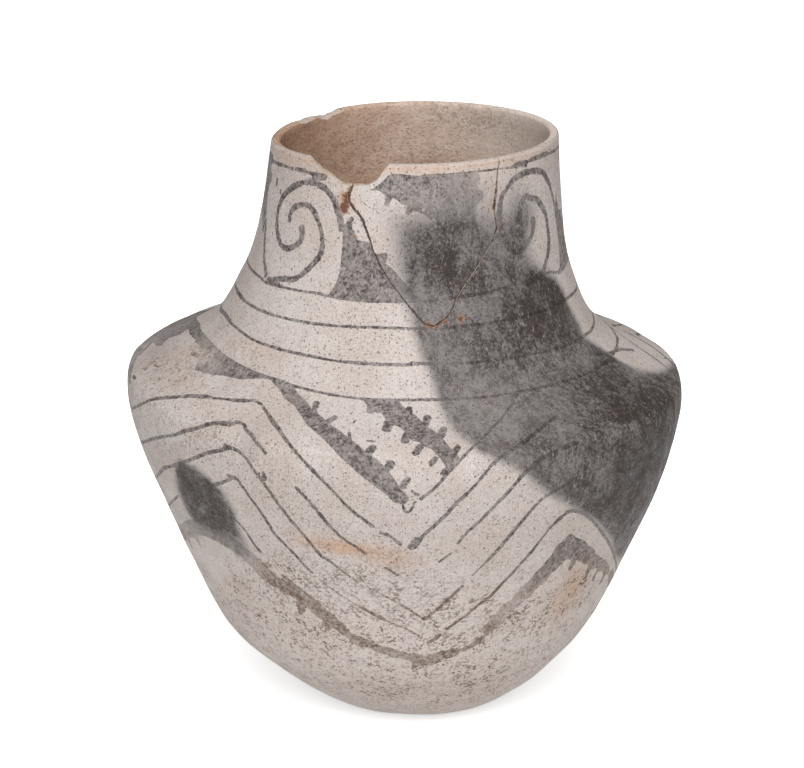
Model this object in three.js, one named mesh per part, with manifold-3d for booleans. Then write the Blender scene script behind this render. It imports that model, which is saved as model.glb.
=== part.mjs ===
// A round-bellied, wide-necked clay storage jar, built up from coils, scraped thin, slipped and fired.
// It is 280 mm across the belly and 296 mm tall. A tapering sherd of the neck once broke out and was
// put back with two lines of glue, and the lip beside it has lost a long chip.
//
// Millimetres, +Z up. The origin is on the standing surface, under the middle of the belly. Angles go
// round the jar in degrees: 0 faces -Y, 90 faces +X and 180 faces +Y.
import * as THREE from "three";
import { mergeVertices } from "three/addons/utils/BufferGeometryUtils.js";
import Module from "manifold-3d";

// Outer form, from the foot up
const FOOT_RADIUS = 40; // the flat patch that the jar stands on
const BELLY_RADIUS = 140;
const BELLY_HEIGHT = 163;
const NECK_ROOT_RADIUS = 90;
const NECK_ROOT_HEIGHT = 209;
const LIP_RADIUS = 70.7;
const LIP_HEIGHT = 295.2;

// Wall
const FLOOR_WALL = 7;
const BODY_WALL = 5.5;
const LIP_WALL = 4.8;
const LIP_CROWN = 1.8; // how far the rounded lip rises above its two edges

// What the potter's hand left: each ring's sideways shift, and the tilt of the shoulder and the lip
const FOOT_SHIFT = 7;
const LOWER_BODY_SHIFT = 0.8;
const LIP_SHIFT = 5;
const SHOULDER_RISE = 3; // the left shoulder stands this much above the mean, the right this much below
const LIP_RISE = -0.8; // the same for the lip
const LIP_SAG = 2.2; // the lip dips by this much on the left
const SAG_MIDDLE = -95; // degrees
const SAG_REACH = 75; // degrees each way

// Repair
const GLUE_FILM = 0.4;
const GLUE_CLEARANCE = 0.35; // on each side of the film
const GLUE_SPALL = 2.2; // width of the glue in the flaked spot high on the left crack
const SHERD_LENGTH = 75; // from the lip down to the sherd's point

// Lost chips of the lip
const FRONT_CHIP_DEPTH = 11;
const BACK_CHIP_DEPTH = 3.6;
const CHIP_LEAD = 2; // a chip's outline starts this far above the lip

// How far a cut reaches past the neck's wall, so that it passes right through
const CUT_INSIDE = 16;
const CUT_OUTSIDE = 14;
const CUT_ABOVE = 12;

// Fineness of the mesh
const SEGMENTS = 60;
const LIP_STEPS = 4;
const CRACK_STEP = 3;

// Curves between the driving circles, as [share of the height, share of the way to the next radius]
const BODY_CURVE = [
  [0, 0],
  [0.025, 0.105],
  [0.075, 0.23],
  [0.16, 0.385],
  [0.28, 0.56],
  [0.44, 0.69],
  [0.6, 0.795],
  [0.75, 0.894],
  [0.87, 0.957],
  [0.95, 0.988],
];
const SHOULDER_CURVE = [
  [0, 0],
  [0.13, 0.005],
  [0.24, 0.025],
  [0.35, 0.18],
  [0.48, 0.46],
  [0.63, 0.7],
  [0.8, 0.885],
];
const NECK_CURVE = [
  [0, 0],
  [0.13, 0.26],
  [0.31, 0.56],
  [0.55, 0.775],
  [0.78, 0.91],
  [1, 1],
];

// Crack lines of the sherd, as [angle, share of its length below the lip], from the lip to the point
const SHERD_POINT = 8.6;
const LEFT_CRACK = [
  [-24, 0.147],
  [-25.2, 0.191],
  [-25.4, 0.236],
  [-23.6, 0.275],
  [-20.6, 0.317],
  [-18.8, 0.361],
  [-16.3, 0.449],
  [-13.8, 0.548],
  [-10, 0.657],
  [-6.5, 0.74],
  [-2.9, 0.812],
  [1.6, 0.901],
  [5.3, 0.975],
];
const LEFT_SPALL = [1, 2]; // the two points of the left crack where it is flaked wide
const RIGHT_CRACK = [
  [34, 0],
  [33, 0.11],
  [32.8, 0.175],
  [32.1, 0.263],
  [31.6, 0.317],
  [33, 0.439],
  [31.6, 0.5],
  [28, 0.576],
  [23.9, 0.669],
  [19.8, 0.755],
  [16.6, 0.833],
  [14.4, 0.923],
  [12.8, 0.955],
];

// Chips, as [angle, share of the chip's depth]
const FRONT_CHIP = [
  [-50, 0],
  [-48.6, 0.15],
  [-46.5, 0.31],
  [-44.8, 0.42],
  [-40, 0.55],
  [-35.8, 0.7],
  [-32, 0.93],
  [-28.6, 0.98],
  [-23, 1],
  [-17.6, 0.95],
  [-14.3, 0.77],
  [-12.7, 0.47],
  [-10.4, 0.21],
  [-8.4, 0],
];
const BACK_CHIP = [
  [-152, 0],
  [-147, 0.5],
  [-138, 1],
  [-131, 0.7],
  [-122, 0.75],
  [-114, 0.4],
  [-104, 0],
];

const wasm = await Module();
wasm.setup();

const clay = (color, roughness) =>
  new THREE.MeshStandardMaterial({ color, roughness, metalness: 0 });

// A smooth curve through [place, value] pairs that never overshoots them: a monotone cubic.
function curveThrough(pairs) {
  const last = pairs.length - 1;
  const step = pairs.slice(1).map(([x], i) => x - pairs[i][0]);
  const rise = step.map((h, i) => (pairs[i + 1][1] - pairs[i][1]) / h);
  const slope = pairs.map((_, i) => {
    if (i === 0) return rise[0];
    if (i === last) return rise[last - 1];
    if (rise[i - 1] * rise[i] <= 0) return 0;
    const before = 2 * step[i] + step[i - 1];
    const after = step[i] + 2 * step[i - 1];
    return (before + after) / (before / rise[i - 1] + after / rise[i]);
  });
  return (x) => {
    let i = 0;
    while (i < last - 1 && x > pairs[i + 1][0]) i++;
    const t = THREE.MathUtils.clamp((x - pairs[i][0]) / step[i], 0, 1);
    const start = pairs[i][1] * (1 + 2 * t) * (1 - t) ** 2;
    const end = pairs[i + 1][1] * t * t * (3 - 2 * t);
    const bend = step[i] * (slope[i] * t * (1 - t) ** 2 - slope[i + 1] * t * t * (1 - t));
    return start + end + bend;
  };
}

// One stretch of the outer form, from one driving circle to the next, as [height, radius] pairs
const stretch = (curve, low, high) =>
  curve.map(([up, across]) => [
    THREE.MathUtils.lerp(low.height, high.height, up),
    THREE.MathUtils.lerp(low.radius, high.radius, across),
  ]);

const foot = { height: 0, radius: FOOT_RADIUS };
const belly = { height: BELLY_HEIGHT, radius: BELLY_RADIUS };
const neckRoot = { height: NECK_ROOT_HEIGHT, radius: NECK_ROOT_RADIUS };
const lipEdge = { height: LIP_HEIGHT - LIP_CROWN, radius: LIP_RADIUS };

const outline = [
  ...stretch(BODY_CURVE, foot, belly),
  ...stretch(SHOULDER_CURVE, belly, neckRoot),
  ...stretch(NECK_CURVE, neckRoot, lipEdge),
];
const radiusAt = curveThrough(outline);
const wallAt = curveThrough([
  [0, FLOOR_WALL],
  [BELLY_HEIGHT / 3, BODY_WALL],
  [NECK_ROOT_HEIGHT, BODY_WALL],
  [lipEdge.height, LIP_WALL],
]);
const shiftAt = curveThrough([
  [0, FOOT_SHIFT],
  [BELLY_HEIGHT * 0.3, LOWER_BODY_SHIFT],
  [BELLY_HEIGHT * 0.7, LOWER_BODY_SHIFT],
  [BELLY_HEIGHT, 0],
  [NECK_ROOT_HEIGHT, LIP_SHIFT * 0.1],
  [(NECK_ROOT_HEIGHT + LIP_HEIGHT) / 2, LIP_SHIFT * 0.6],
  [LIP_HEIGHT, LIP_SHIFT],
]);
const tiltAt = curveThrough([
  [0, 0],
  [BELLY_HEIGHT * 0.7, SHOULDER_RISE],
  [BELLY_HEIGHT, SHOULDER_RISE],
  [NECK_ROOT_HEIGHT, SHOULDER_RISE / 4],
  [(NECK_ROOT_HEIGHT + LIP_HEIGHT) / 2, LIP_RISE],
  [LIP_HEIGHT, LIP_RISE],
]);

const sagAt = curveThrough([
  [NECK_ROOT_HEIGHT, 0],
  [LIP_HEIGHT, LIP_SAG],
]);

// A point of the wall, moved from the ideal turned form to the hand-built one
function handBuilt(radius, degrees, height) {
  const angle = THREE.MathUtils.degToRad(degrees);
  const fromSag = Math.min(Math.abs(degrees - SAG_MIDDLE) / SAG_REACH, 1);
  const sag = sagAt(height) * Math.cos((fromSag * Math.PI) / 2) ** 2;
  return new THREE.Vector3(
    shiftAt(height) + radius * Math.sin(angle),
    -radius * Math.cos(angle),
    height - tiltAt(height) * Math.sin(angle) - sag,
  );
}

function solidOf(geometry) {
  const shape = mergeVertices(
    new THREE.BufferGeometry()
      .setAttribute("position", geometry.getAttribute("position"))
      .setIndex(geometry.index),
  );
  const corners = [...shape.index.array];
  const triVerts = [];
  for (let i = 0; i < corners.length; i += 3) {
    const [a, b, c] = corners.slice(i, i + 3);
    if (a !== b && b !== c && c !== a) triVerts.push(a, b, c);
  }
  return new wasm.Manifold(
    new wasm.Mesh({
      numProp: 3,
      vertProperties: shape.attributes.position.array,
      triVerts: new Uint32Array(triVerts),
    }),
  );
}

function geometryOf(solid) {
  const { vertProperties, triVerts } = solid.getMesh();
  const geometry = new THREE.BufferGeometry()
    .setAttribute("position", new THREE.BufferAttribute(vertProperties, 3))
    .setIndex(new THREE.BufferAttribute(triVerts, 1));
  geometry.computeVertexNormals();
  return geometry;
}

// The wall's half section: up the outside, over the rounded lip, down the inside and in to the middle
function wallSection() {
  const outside = [];
  outline.forEach(([height, radius], i) => {
    outside.push(new THREE.Vector2(radius, height));
    if (i === outline.length - 1) return;
    const between = (height + outline[i + 1][0]) / 2;
    outside.push(new THREE.Vector2(radiusAt(between), between));
  });
  const lip = [];
  for (let i = 1; i < LIP_STEPS; i++) {
    const turn = (Math.PI * i) / LIP_STEPS;
    lip.push(
      new THREE.Vector2(
        lipEdge.radius - (LIP_WALL / 2) * (1 - Math.cos(turn)),
        lipEdge.height + LIP_CROWN * Math.sin(turn),
      ),
    );
  }
  const probe = 0.5;
  const inside = outline.map(([height, radius]) => {
    const above = Math.min(height + probe, lipEdge.height);
    const below = Math.max(height - probe, 0);
    const slope = (radiusAt(above) - radiusAt(below)) / (above - below);
    const straightIn = wallAt(height) / Math.hypot(1, slope);
    if (height === lipEdge.height) return new THREE.Vector2(radius - LIP_WALL, height);
    return new THREE.Vector2(radius - straightIn, height + straightIn * slope);
  });
  return [
    new THREE.Vector2(0, 0),
    ...outside,
    ...lip,
    ...inside.reverse(),
    new THREE.Vector2(0, FLOOR_WALL),
  ];
}

// The whole wall before anything broke
function wholeWall() {
  const turned = new THREE.LatheGeometry(wallSection(), SEGMENTS);
  const position = turned.getAttribute("position");
  const point = new THREE.Vector3();
  for (let i = 0; i < position.count; i++) {
    point.fromBufferAttribute(position, i);
    const radius = Math.hypot(point.x, point.z);
    const degrees = THREE.MathUtils.radToDeg(Math.atan2(point.x, point.z));
    const moved = handBuilt(radius, degrees, point.y);
    position.setXYZ(i, moved.x, moved.y, moved.z);
  }
  return solidOf(turned);
}

// A prism that stands on its [angle, height] outline and runs straight out from the neck's axis, so
// that its sides cross the wall at a right angle. It leans and sags with the wall.
const PRISM_INNER = LIP_RADIUS - LIP_WALL - CUT_INSIDE;
const PRISM_OUTER = NECK_ROOT_RADIUS + CUT_OUTSIDE;

function radialPrism(corners) {
  const flat = corners.map(([degrees, height]) => new THREE.Vector2(degrees, height));
  if (THREE.ShapeUtils.isClockWise(flat)) flat.reverse();
  const count = flat.length;
  const position = [];
  for (const radius of [PRISM_INNER, PRISM_OUTER]) {
    for (const { x: degrees, y: height } of flat) {
      position.push(...handBuilt(radius, degrees, height));
    }
  }
  const index = [];
  for (const [a, b, c] of THREE.ShapeUtils.triangulateShape(flat, [])) {
    index.push(count + a, count + b, count + c, c, b, a);
  }
  // Each side is a little twisted. Its diagonal always falls outwards, so that prisms which share a
  // crack bend alike.
  for (let i = 0; i < count; i++) {
    const next = (i + 1) % count;
    if (flat[i].y >= flat[next].y) index.push(i, next, count + next, i, count + next, count + i);
    else index.push(i, next, count + i, next, count + next, count + i);
  }
  return solidOf(
    new THREE.BufferGeometry()
      .setAttribute("position", new THREE.Float32BufferAttribute(position, 3))
      .setIndex(index),
  );
}

// Clear of the lip, so that a prism's top passes over it
const ABOVE_LIP = LIP_HEIGHT + CUT_ABOVE;

// The material that a chip took from the lip
const chip = (points, depth) =>
  radialPrism([
    [points[0][0], ABOVE_LIP],
    ...points.map(([degrees, share]) => [
      degrees,
      LIP_HEIGHT + CHIP_LEAD - share * (depth + CHIP_LEAD),
    ]),
    [points.at(-1)[0], ABOVE_LIP],
  ]);

// A crack as a path on the neck, in millimetres round and up, with the glue's half width at each point
const NECK_RADIUS = radiusAt(LIP_HEIGHT - SHERD_LENGTH / 2);
const MM_PER_DEGREE = THREE.MathUtils.degToRad(NECK_RADIUS);

function crackPath(points, spall) {
  const knots = points.map(([degrees, share], i) => ({
    at: new THREE.Vector2(degrees * MM_PER_DEGREE, LIP_HEIGHT - share * SHERD_LENGTH),
    half: (spall.includes(i) ? GLUE_SPALL : GLUE_FILM) / 2,
  }));
  const top = knots[0];
  const lead = { at: new THREE.Vector2(top.at.x, ABOVE_LIP), half: top.half };
  const tip = {
    at: new THREE.Vector2(SHERD_POINT * MM_PER_DEGREE, LIP_HEIGHT - SHERD_LENGTH),
    half: GLUE_FILM / 2,
  };
  const path = [lead];
  for (const knot of [...knots, tip]) {
    const from = path.at(-1);
    const steps = Math.ceil(from.at.distanceTo(knot.at) / CRACK_STEP);
    for (let i = 1; i <= steps; i++) {
      path.push({
        at: from.at.clone().lerp(knot.at, i / steps),
        half: THREE.MathUtils.lerp(from.half, knot.half, i / steps),
      });
    }
  }
  return path;
}

// The path moved sideways, to the left of the way down for a positive side, by the glue's half width
// and a clearance, as [angle, height] corners
function besideCrack(path, side, clearance) {
  return path.map(({ at, half }, i) => {
    const from = path[Math.max(i - 1, 0)].at;
    const to = path[Math.min(i + 1, path.length - 1)].at;
    const along = to.clone().sub(from).normalize();
    const reach = side * (half + clearance);
    return [(at.x - along.y * reach) / MM_PER_DEGREE, at.y + along.x * reach];
  });
}

const leftCrack = crackPath(LEFT_CRACK, LEFT_SPALL);
const rightCrack = crackPath(RIGHT_CRACK, []);

// The sherd's own outline for a side of 1, and the hole's outline in the neck for a side of -1. Going
// down the left crack the sherd lies on the left hand, and going down the right crack on the right.
function sherdSpace(side) {
  const left = besideCrack(leftCrack, side, GLUE_CLEARANCE).slice(0, -1);
  const right = besideCrack(rightCrack, -side, GLUE_CLEARANCE).slice(0, -1);
  const tip = leftCrack.at(-1).at;
  const upLeft = leftCrack.at(-2).at.clone().sub(tip).normalize();
  const upRight = rightCrack.at(-2).at.clone().sub(tip).normalize();
  const upMiddle = upLeft.clone().add(upRight).normalize();
  const reach = (side * (GLUE_FILM / 2 + GLUE_CLEARANCE)) / Math.abs(upMiddle.cross(upLeft));
  const corner = tip.clone().addScaledVector(upMiddle, reach);
  return radialPrism([...left, [corner.x / MM_PER_DEGREE, corner.y], ...right.reverse()]);
}

// The glue between the two faces of a crack. The left film runs down to the point, and the right one
// stops short of it.
function glueSpace(path, stopShort) {
  const seam = path.map(({ at, half }) => ({ at: at.clone(), half }));
  const end = seam.at(-1).at;
  end.add(seam.at(-2).at.clone().sub(end).setLength(stopShort));
  return radialPrism([...besideCrack(seam, 1, 0), ...besideCrack(seam, -1, 0).reverse()]);
}

const wall = wholeWall()
  .subtract(chip(FRONT_CHIP, FRONT_CHIP_DEPTH))
  .subtract(chip(BACK_CHIP, BACK_CHIP_DEPTH));

function piece(name, solid, material) {
  const mesh = new THREE.Mesh(geometryOf(solid), material);
  mesh.name = name;
  return mesh;
}

const jar = new THREE.Group();
jar.add(
  piece("jar_body", wall.subtract(sherdSpace(-1)), clay(0xd3c8c0, 0.85)),
  piece("neck_sherd", wall.intersect(sherdSpace(1)), clay(0x8f8b89, 0.85)),
  piece("glue_seam_left", wall.intersect(glueSpace(leftCrack, 0)), clay(0x8a5a34, 0.5)),
  piece(
    "glue_seam_right",
    wall.intersect(glueSpace(rightCrack, GLUE_FILM + 2 * GLUE_CLEARANCE)),
    clay(0x8a5a34, 0.5),
  ),
);
export default jar;
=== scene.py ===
"""The looks of a mended clay storage jar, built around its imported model: the pinched and scraped wall with
its chips, the painted bands, the smoke clouds of the firing, the refitted sherd and its old glue.

Lengths in the tables are millimetres and angles are degrees round the jar: 0 faces -Y, the camera, and 90
faces +X. A place on the outside is [angle, way up], where the way up is measured along the wall's outline
from the edge of the foot. Meshes are in metres, in the model's own frame.
"""

import math

import bpy
import numpy as np
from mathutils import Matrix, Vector, noise
from mathutils.geometry import tessellate_polygon


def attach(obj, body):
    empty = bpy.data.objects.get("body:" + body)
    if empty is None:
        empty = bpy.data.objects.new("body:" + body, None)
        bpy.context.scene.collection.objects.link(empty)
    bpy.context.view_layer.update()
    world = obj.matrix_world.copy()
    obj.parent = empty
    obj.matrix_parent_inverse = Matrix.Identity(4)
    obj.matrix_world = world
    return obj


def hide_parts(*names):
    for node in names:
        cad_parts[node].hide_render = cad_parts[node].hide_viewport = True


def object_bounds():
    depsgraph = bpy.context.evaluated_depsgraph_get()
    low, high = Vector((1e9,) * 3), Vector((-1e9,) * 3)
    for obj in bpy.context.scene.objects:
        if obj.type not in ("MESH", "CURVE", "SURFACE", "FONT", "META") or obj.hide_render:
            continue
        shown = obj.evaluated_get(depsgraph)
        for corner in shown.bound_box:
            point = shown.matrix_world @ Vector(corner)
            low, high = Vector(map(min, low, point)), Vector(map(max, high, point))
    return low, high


bl_info = {
    "name": "Mended Storage Jar",
    "version": (1, 0, 0),
    "blender": (4, 5, 0),
    "location": "3D View > Sidebar > Jar",
    "description": "Builds the clay wall, painted bands, refitted sherd and old glue of a storage jar",
    "category": "Add Mesh",
}

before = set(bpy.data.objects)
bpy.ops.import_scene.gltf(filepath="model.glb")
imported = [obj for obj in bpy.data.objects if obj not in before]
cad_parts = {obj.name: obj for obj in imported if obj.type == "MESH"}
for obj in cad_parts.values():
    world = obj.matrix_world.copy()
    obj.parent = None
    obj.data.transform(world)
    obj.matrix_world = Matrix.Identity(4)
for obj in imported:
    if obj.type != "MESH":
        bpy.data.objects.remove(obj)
CAD_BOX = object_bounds()
METRE = 1000.0

# Outer form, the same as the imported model's
FOOT_RADIUS = 40.0
BELLY_RADIUS = (CAD_BOX[1].x - CAD_BOX[0].x) / 2 * METRE
BELLY_HEIGHT = 163.0
NECK_ROOT_RADIUS = 90.0
NECK_ROOT_HEIGHT = 209.0
LIP_RADIUS = 70.7
LIP_RISE = -0.8
LIP_HEIGHT = CAD_BOX[1].z * METRE + LIP_RISE
FLOOR_WALL = 7.0
BODY_WALL = 5.5
LIP_WALL = 4.8
LIP_CROWN = 1.8
FOOT_SHIFT = 7.0
LOWER_BODY_SHIFT = 0.8
LIP_SHIFT = 5.0
SHOULDER_RISE = 3.0
LIP_SAG = 2.2
SAG_MIDDLE = -95.0
SAG_REACH = 75.0

# Curves between the driving circles, as [share of the height, share of the way to the next radius]
BODY_CURVE = [
    (0, 0), (0.025, 0.105), (0.075, 0.23), (0.16, 0.385), (0.28, 0.56), (0.44, 0.69),
    (0.6, 0.795), (0.75, 0.894), (0.87, 0.957), (0.95, 0.988),
]  # fmt: skip
SHOULDER_CURVE = [
    (0, 0), (0.13, 0.005), (0.24, 0.025), (0.35, 0.18), (0.48, 0.46), (0.63, 0.7), (0.8, 0.885)
]
NECK_CURVE = [(0, 0), (0.13, 0.26), (0.31, 0.56), (0.55, 0.775), (0.78, 0.91), (1, 1)]

# The two cracks of the sherd, as [angle, share of its length below the lip]
SHERD_LENGTH = 75.0
SHERD_POINT = (8.6, 1)
LEFT_CRACK = [
    (-24, 0.02), (-24, 0.147), (-25.2, 0.191), (-25.4, 0.236), (-23.6, 0.275), (-20.6, 0.317),
    (-18.8, 0.361), (-16.3, 0.449), (-13.8, 0.548), (-10, 0.657), (-6.5, 0.74), (-2.9, 0.812),
    (1.6, 0.901), (5.3, 0.975),
]  # fmt: skip
RIGHT_CRACK = [
    (34, 0.02), (33, 0.11), (32.8, 0.175), (32.1, 0.263), (31.6, 0.317), (33, 0.439), (31.6, 0.5),
    (28, 0.576), (23.9, 0.669), (19.8, 0.755), (16.6, 0.833), (14.4, 0.923), (12.8, 0.955),
]  # fmt: skip

# Lost chips of the lip, as [angle, depth at the inner edge]. A chip starts and ends above the lip.
FRONT_CHIP = [
    (-50, -2), (-48.6, 0), (-46.5, 2), (-44.8, 3.4), (-40, 5.2), (-35.8, 7.1), (-32, 10.1), (-28.6, 10.8),
    (-23, 11), (-17.6, 10.3), (-14.3, 8), (-12.7, 4.1), (-10.4, 0.7), (-8.4, -2),
]  # fmt: skip
BACK_CHIP = [(-152, -2), (-147, 0.8), (-138, 3.6), (-131, 1.9), (-122, 2.2), (-114, 0.2), (-104, -2)]


def curve_through(pairs):
    """A smooth curve through [place, value] pairs that never overshoots them: a monotone cubic."""
    place, value = np.array(pairs, float).T
    step = np.diff(place)
    rise = np.diff(value) / step
    slope = np.concatenate([rise[:1], np.zeros(len(rise) - 1), rise[-1:]])
    for i in range(1, len(rise)):
        if rise[i - 1] * rise[i] > 0:
            before = 2 * step[i] + step[i - 1]
            after = step[i] + 2 * step[i - 1]
            slope[i] = (before + after) / (before / rise[i - 1] + after / rise[i])

    def at(x):
        i = np.clip(np.searchsorted(place, x) - 1, 0, len(step) - 1)
        t = np.clip((x - place[i]) / step[i], 0, 1)
        ends = value[i] * (1 + 2 * t) * (1 - t) ** 2 + value[i + 1] * t * t * (3 - 2 * t)
        return ends + step[i] * (slope[i] * t * (1 - t) ** 2 - slope[i + 1] * t * t * (1 - t))

    return at


def stretch(curve, low, high):
    """One stretch of the outline between two [height, radius] circles."""
    height, radius = high[0] - low[0], high[1] - low[1]
    return [(low[0] + height * up, low[1] + radius * across) for up, across in curve]


FOOT = (0.0, FOOT_RADIUS)
BELLY = (BELLY_HEIGHT, BELLY_RADIUS)
NECK_ROOT = (NECK_ROOT_HEIGHT, NECK_ROOT_RADIUS)
LIP_EDGE = (LIP_HEIGHT - LIP_CROWN, LIP_RADIUS)
NECK_MIDDLE = (NECK_ROOT_HEIGHT + LIP_HEIGHT) / 2

radius_at = curve_through(
    stretch(BODY_CURVE, FOOT, BELLY)
    + stretch(SHOULDER_CURVE, BELLY, NECK_ROOT)
    + stretch(NECK_CURVE, NECK_ROOT, LIP_EDGE)
)
wall_at = curve_through(
    [(0, FLOOR_WALL), (BELLY_HEIGHT / 3, BODY_WALL), (NECK_ROOT_HEIGHT, BODY_WALL), (LIP_EDGE[0], LIP_WALL)]
)
shift_at = curve_through(
    [
        (0, FOOT_SHIFT),
        (BELLY_HEIGHT * 0.3, LOWER_BODY_SHIFT),
        (BELLY_HEIGHT * 0.7, LOWER_BODY_SHIFT),
        (BELLY_HEIGHT, 0),
        (NECK_ROOT_HEIGHT, LIP_SHIFT * 0.1),
        (NECK_MIDDLE, LIP_SHIFT * 0.6),
        (LIP_HEIGHT, LIP_SHIFT),
    ]
)
rise_at = curve_through(
    [
        (0, 0),
        (BELLY_HEIGHT * 0.7, SHOULDER_RISE),
        (BELLY_HEIGHT, SHOULDER_RISE),
        (NECK_ROOT_HEIGHT, SHOULDER_RISE / 4),
        (NECK_MIDDLE, LIP_RISE),
        (LIP_HEIGHT, LIP_RISE),
    ]
)
sag_at = curve_through([(NECK_ROOT_HEIGHT, 0), (LIP_HEIGHT, LIP_SAG)])


def turn_from(angle, middle):
    """How far angles lie from a middle one, from -180 to 180."""
    return (angle - middle + 180) % 360 - 180


def slope_at(height):
    """How far the outline's radius grows for each millimetre up."""
    above = np.minimum(height + 0.5, LIP_EDGE[0])
    below = np.maximum(height - 0.5, 0)
    return (radius_at(above) - radius_at(below)) / (above - below)


def local_sag(angle, height):
    """How far the lip and neck dip at an angle."""
    away = np.minimum(np.abs(turn_from(angle, SAG_MIDDLE)) / SAG_REACH, 1)
    return sag_at(height) * np.cos(away * math.pi / 2) ** 2


def hand_built(angle, radius, height):
    """Points of the jar, moved from the ideal turned form to the hand-built one."""
    turn = np.radians(angle)
    x = shift_at(height) + radius * np.sin(turn)
    y = -radius * np.cos(turn)
    z = height - rise_at(height) * np.sin(turn) - local_sag(angle, height)
    return np.stack(np.broadcast_arrays(x, y, z), -1)


def turned_back(points):
    """The angle, radius and height on the ideal turned form of points on the hand-built one."""
    x, y, z = points.T
    height = z
    for _ in range(6):
        across = x - shift_at(height)
        angle = np.degrees(np.arctan2(across, -y))
        height = z + rise_at(height) * np.sin(np.radians(angle)) + local_sag(angle, height)
    return angle, np.hypot(across, y), height


OUTLINE_HEIGHTS = np.linspace(0, LIP_EDGE[0], 4000)
OUTLINE_WAY = np.concatenate(
    [[0], np.cumsum(np.hypot(np.diff(OUTLINE_HEIGHTS), np.diff(radius_at(OUTLINE_HEIGHTS))))]
)
WAY_TO_LIP = OUTLINE_WAY[-1]


def height_of(way):
    """The height on the outline after a way up the wall."""
    return np.interp(way, OUTLINE_WAY, OUTLINE_HEIGHTS)


def way_of(height):
    """The way up the wall to a height on the outline."""
    return np.interp(height, OUTLINE_HEIGHTS, OUTLINE_WAY)


def degree_at(way):
    """One degree round the jar at a way up the wall, in millimetres."""
    return np.radians(radius_at(height_of(way)))


def spline(points, steps=4):
    """A brush line's points with smooth bends between the ones given."""
    p = np.array(points, float)
    if len(p) < 3:
        return p
    p = np.vstack([2 * p[0] - p[1], p, 2 * p[-1] - p[-2]])
    t = np.linspace(0, 1, steps, endpoint=False)[:, None]
    out = []
    for a, b, c, d in zip(p, p[1:], p[2:], p[3:]):
        bend = (c - a) * t + (2 * a - 5 * b + 4 * c - d) * t**2 + (3 * b - a - 3 * c + d) * t**3
        out.append(b + bend / 2)
    return np.vstack([*out, p[-2:-1]])


def moved(points, middle, to, across=1.0, up=0.0):
    """Points copied from round one angle to round another, narrower or wider and higher or lower."""
    return [(to + (angle - middle) * across, way + up) for angle, way in points]


# Four lines round the root of the neck, from the top one down, and the thin line under the lip.
# Each runs once round the jar, from the left of the front to the back again.
NECK_LINES = [
    (1.5, [(-80, 296.2), (-65, 296.2), (-60, 295.3), (-45, 296.2), (-35, 297), (-28, 296.6), (-18, 295.8),
        (-5, 296.2), (20, 297.6), (40, 299), (57.5, 299.5), (64, 297.4), (67, 296.6)]),
    (2.8, [(67.5, 296.8), (75, 297.4)]),
    (1.5, [(75, 297.4), (95, 297), (125, 298.4), (160, 297), (195, 298), (230, 297.2), (262, 296),
        (280, 296.2)]),
    (1.6, [(-85, 281.5), (-80, 282), (-60, 281.5), (-40, 282), (-23, 282.8), (-10, 283.7), (0, 283.7),
        (40, 283.6), (70, 283.1), (82, 282.5), (120, 282.2), (165, 283.4), (210, 282.4), (250, 281),
        (275, 281.5)]),
    (1.7, [(-88, 266), (-80, 268), (-70, 268), (-60, 267.5), (-50, 266.5), (-30, 266.5), (-20, 266),
        (0, 266.5), (5, 267), (40, 265), (68, 263.5), (79, 262.5), (120, 264), (170, 266.5), (220, 265.2),
        (272, 266)]),
    (1.9, [(-88, 250.5), (-80, 252.5), (-67, 253.3), (-60, 252.6), (-50, 251.1), (-40, 250.6),
        (-35, 250.5), (-30, 249.2), (-20, 247.7), (-11, 247.2), (0, 247.8), (10, 247.7), (45, 247.4),
        (82, 246.5), (120, 248), (160, 250), (200, 248.5), (225, 243), (243, 236.5), (250.5, 238),
        (259, 244), (266.5, 249), (272, 250.8)]),
    (2.6, [(-88, 266), (-84, 267.2), (-79, 268.2), (-71, 268.4)]),
    (2.3, [(-80, 281.9), (-74, 281.8), (-68, 281.6)]),
    (2.4, [(64.5, 254.5), (70, 250), (77, 246.8), (83, 243), (87.5, 237)]),
    (2.0, [(-80, 352.4), (-70, 353), (-62, 353.5), (-55, 353.4)]), (2.8, [(-52.3, 353.7), (-47, 353.8)]),
    (2.6, [(-42.3, 352.8), (-36.5, 352.7)]), (1.9, [(-47, 353.5), (-42, 353)]),
    (1.3, [(-10, 355.3), (-7.5, 356.2), (0, 355.3), (5, 356), (13.5, 355.8), (25, 356), (33.5, 355.6),
        (40, 355.3)]),
    (1.7, [(40, 355.3), (47, 355.8), (55, 356.4), (64, 356), (70, 355.5), (78, 355), (90, 354.6)]),
    (2.5, [(42.4, 355.6), (45, 356), (48.2, 355.8)]), (2.4, [(51, 356.4), (55.4, 356.7)]),
    (2.7, [(57.6, 356.5), (60, 356.8), (62.8, 356.3)]), (2.2, [(90, 354.6), (99, 354.8)]),
    (1.4, [(103, 355), (125, 354.2), (150, 355.2), (172, 354.4)]), (2.3, [(176, 354), (187, 354.4)]),
    (1.4, [(190, 354.5), (212, 355), (235, 353.7), (258, 353.4), (280, 352.4)]),
]  # fmt: skip

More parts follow.
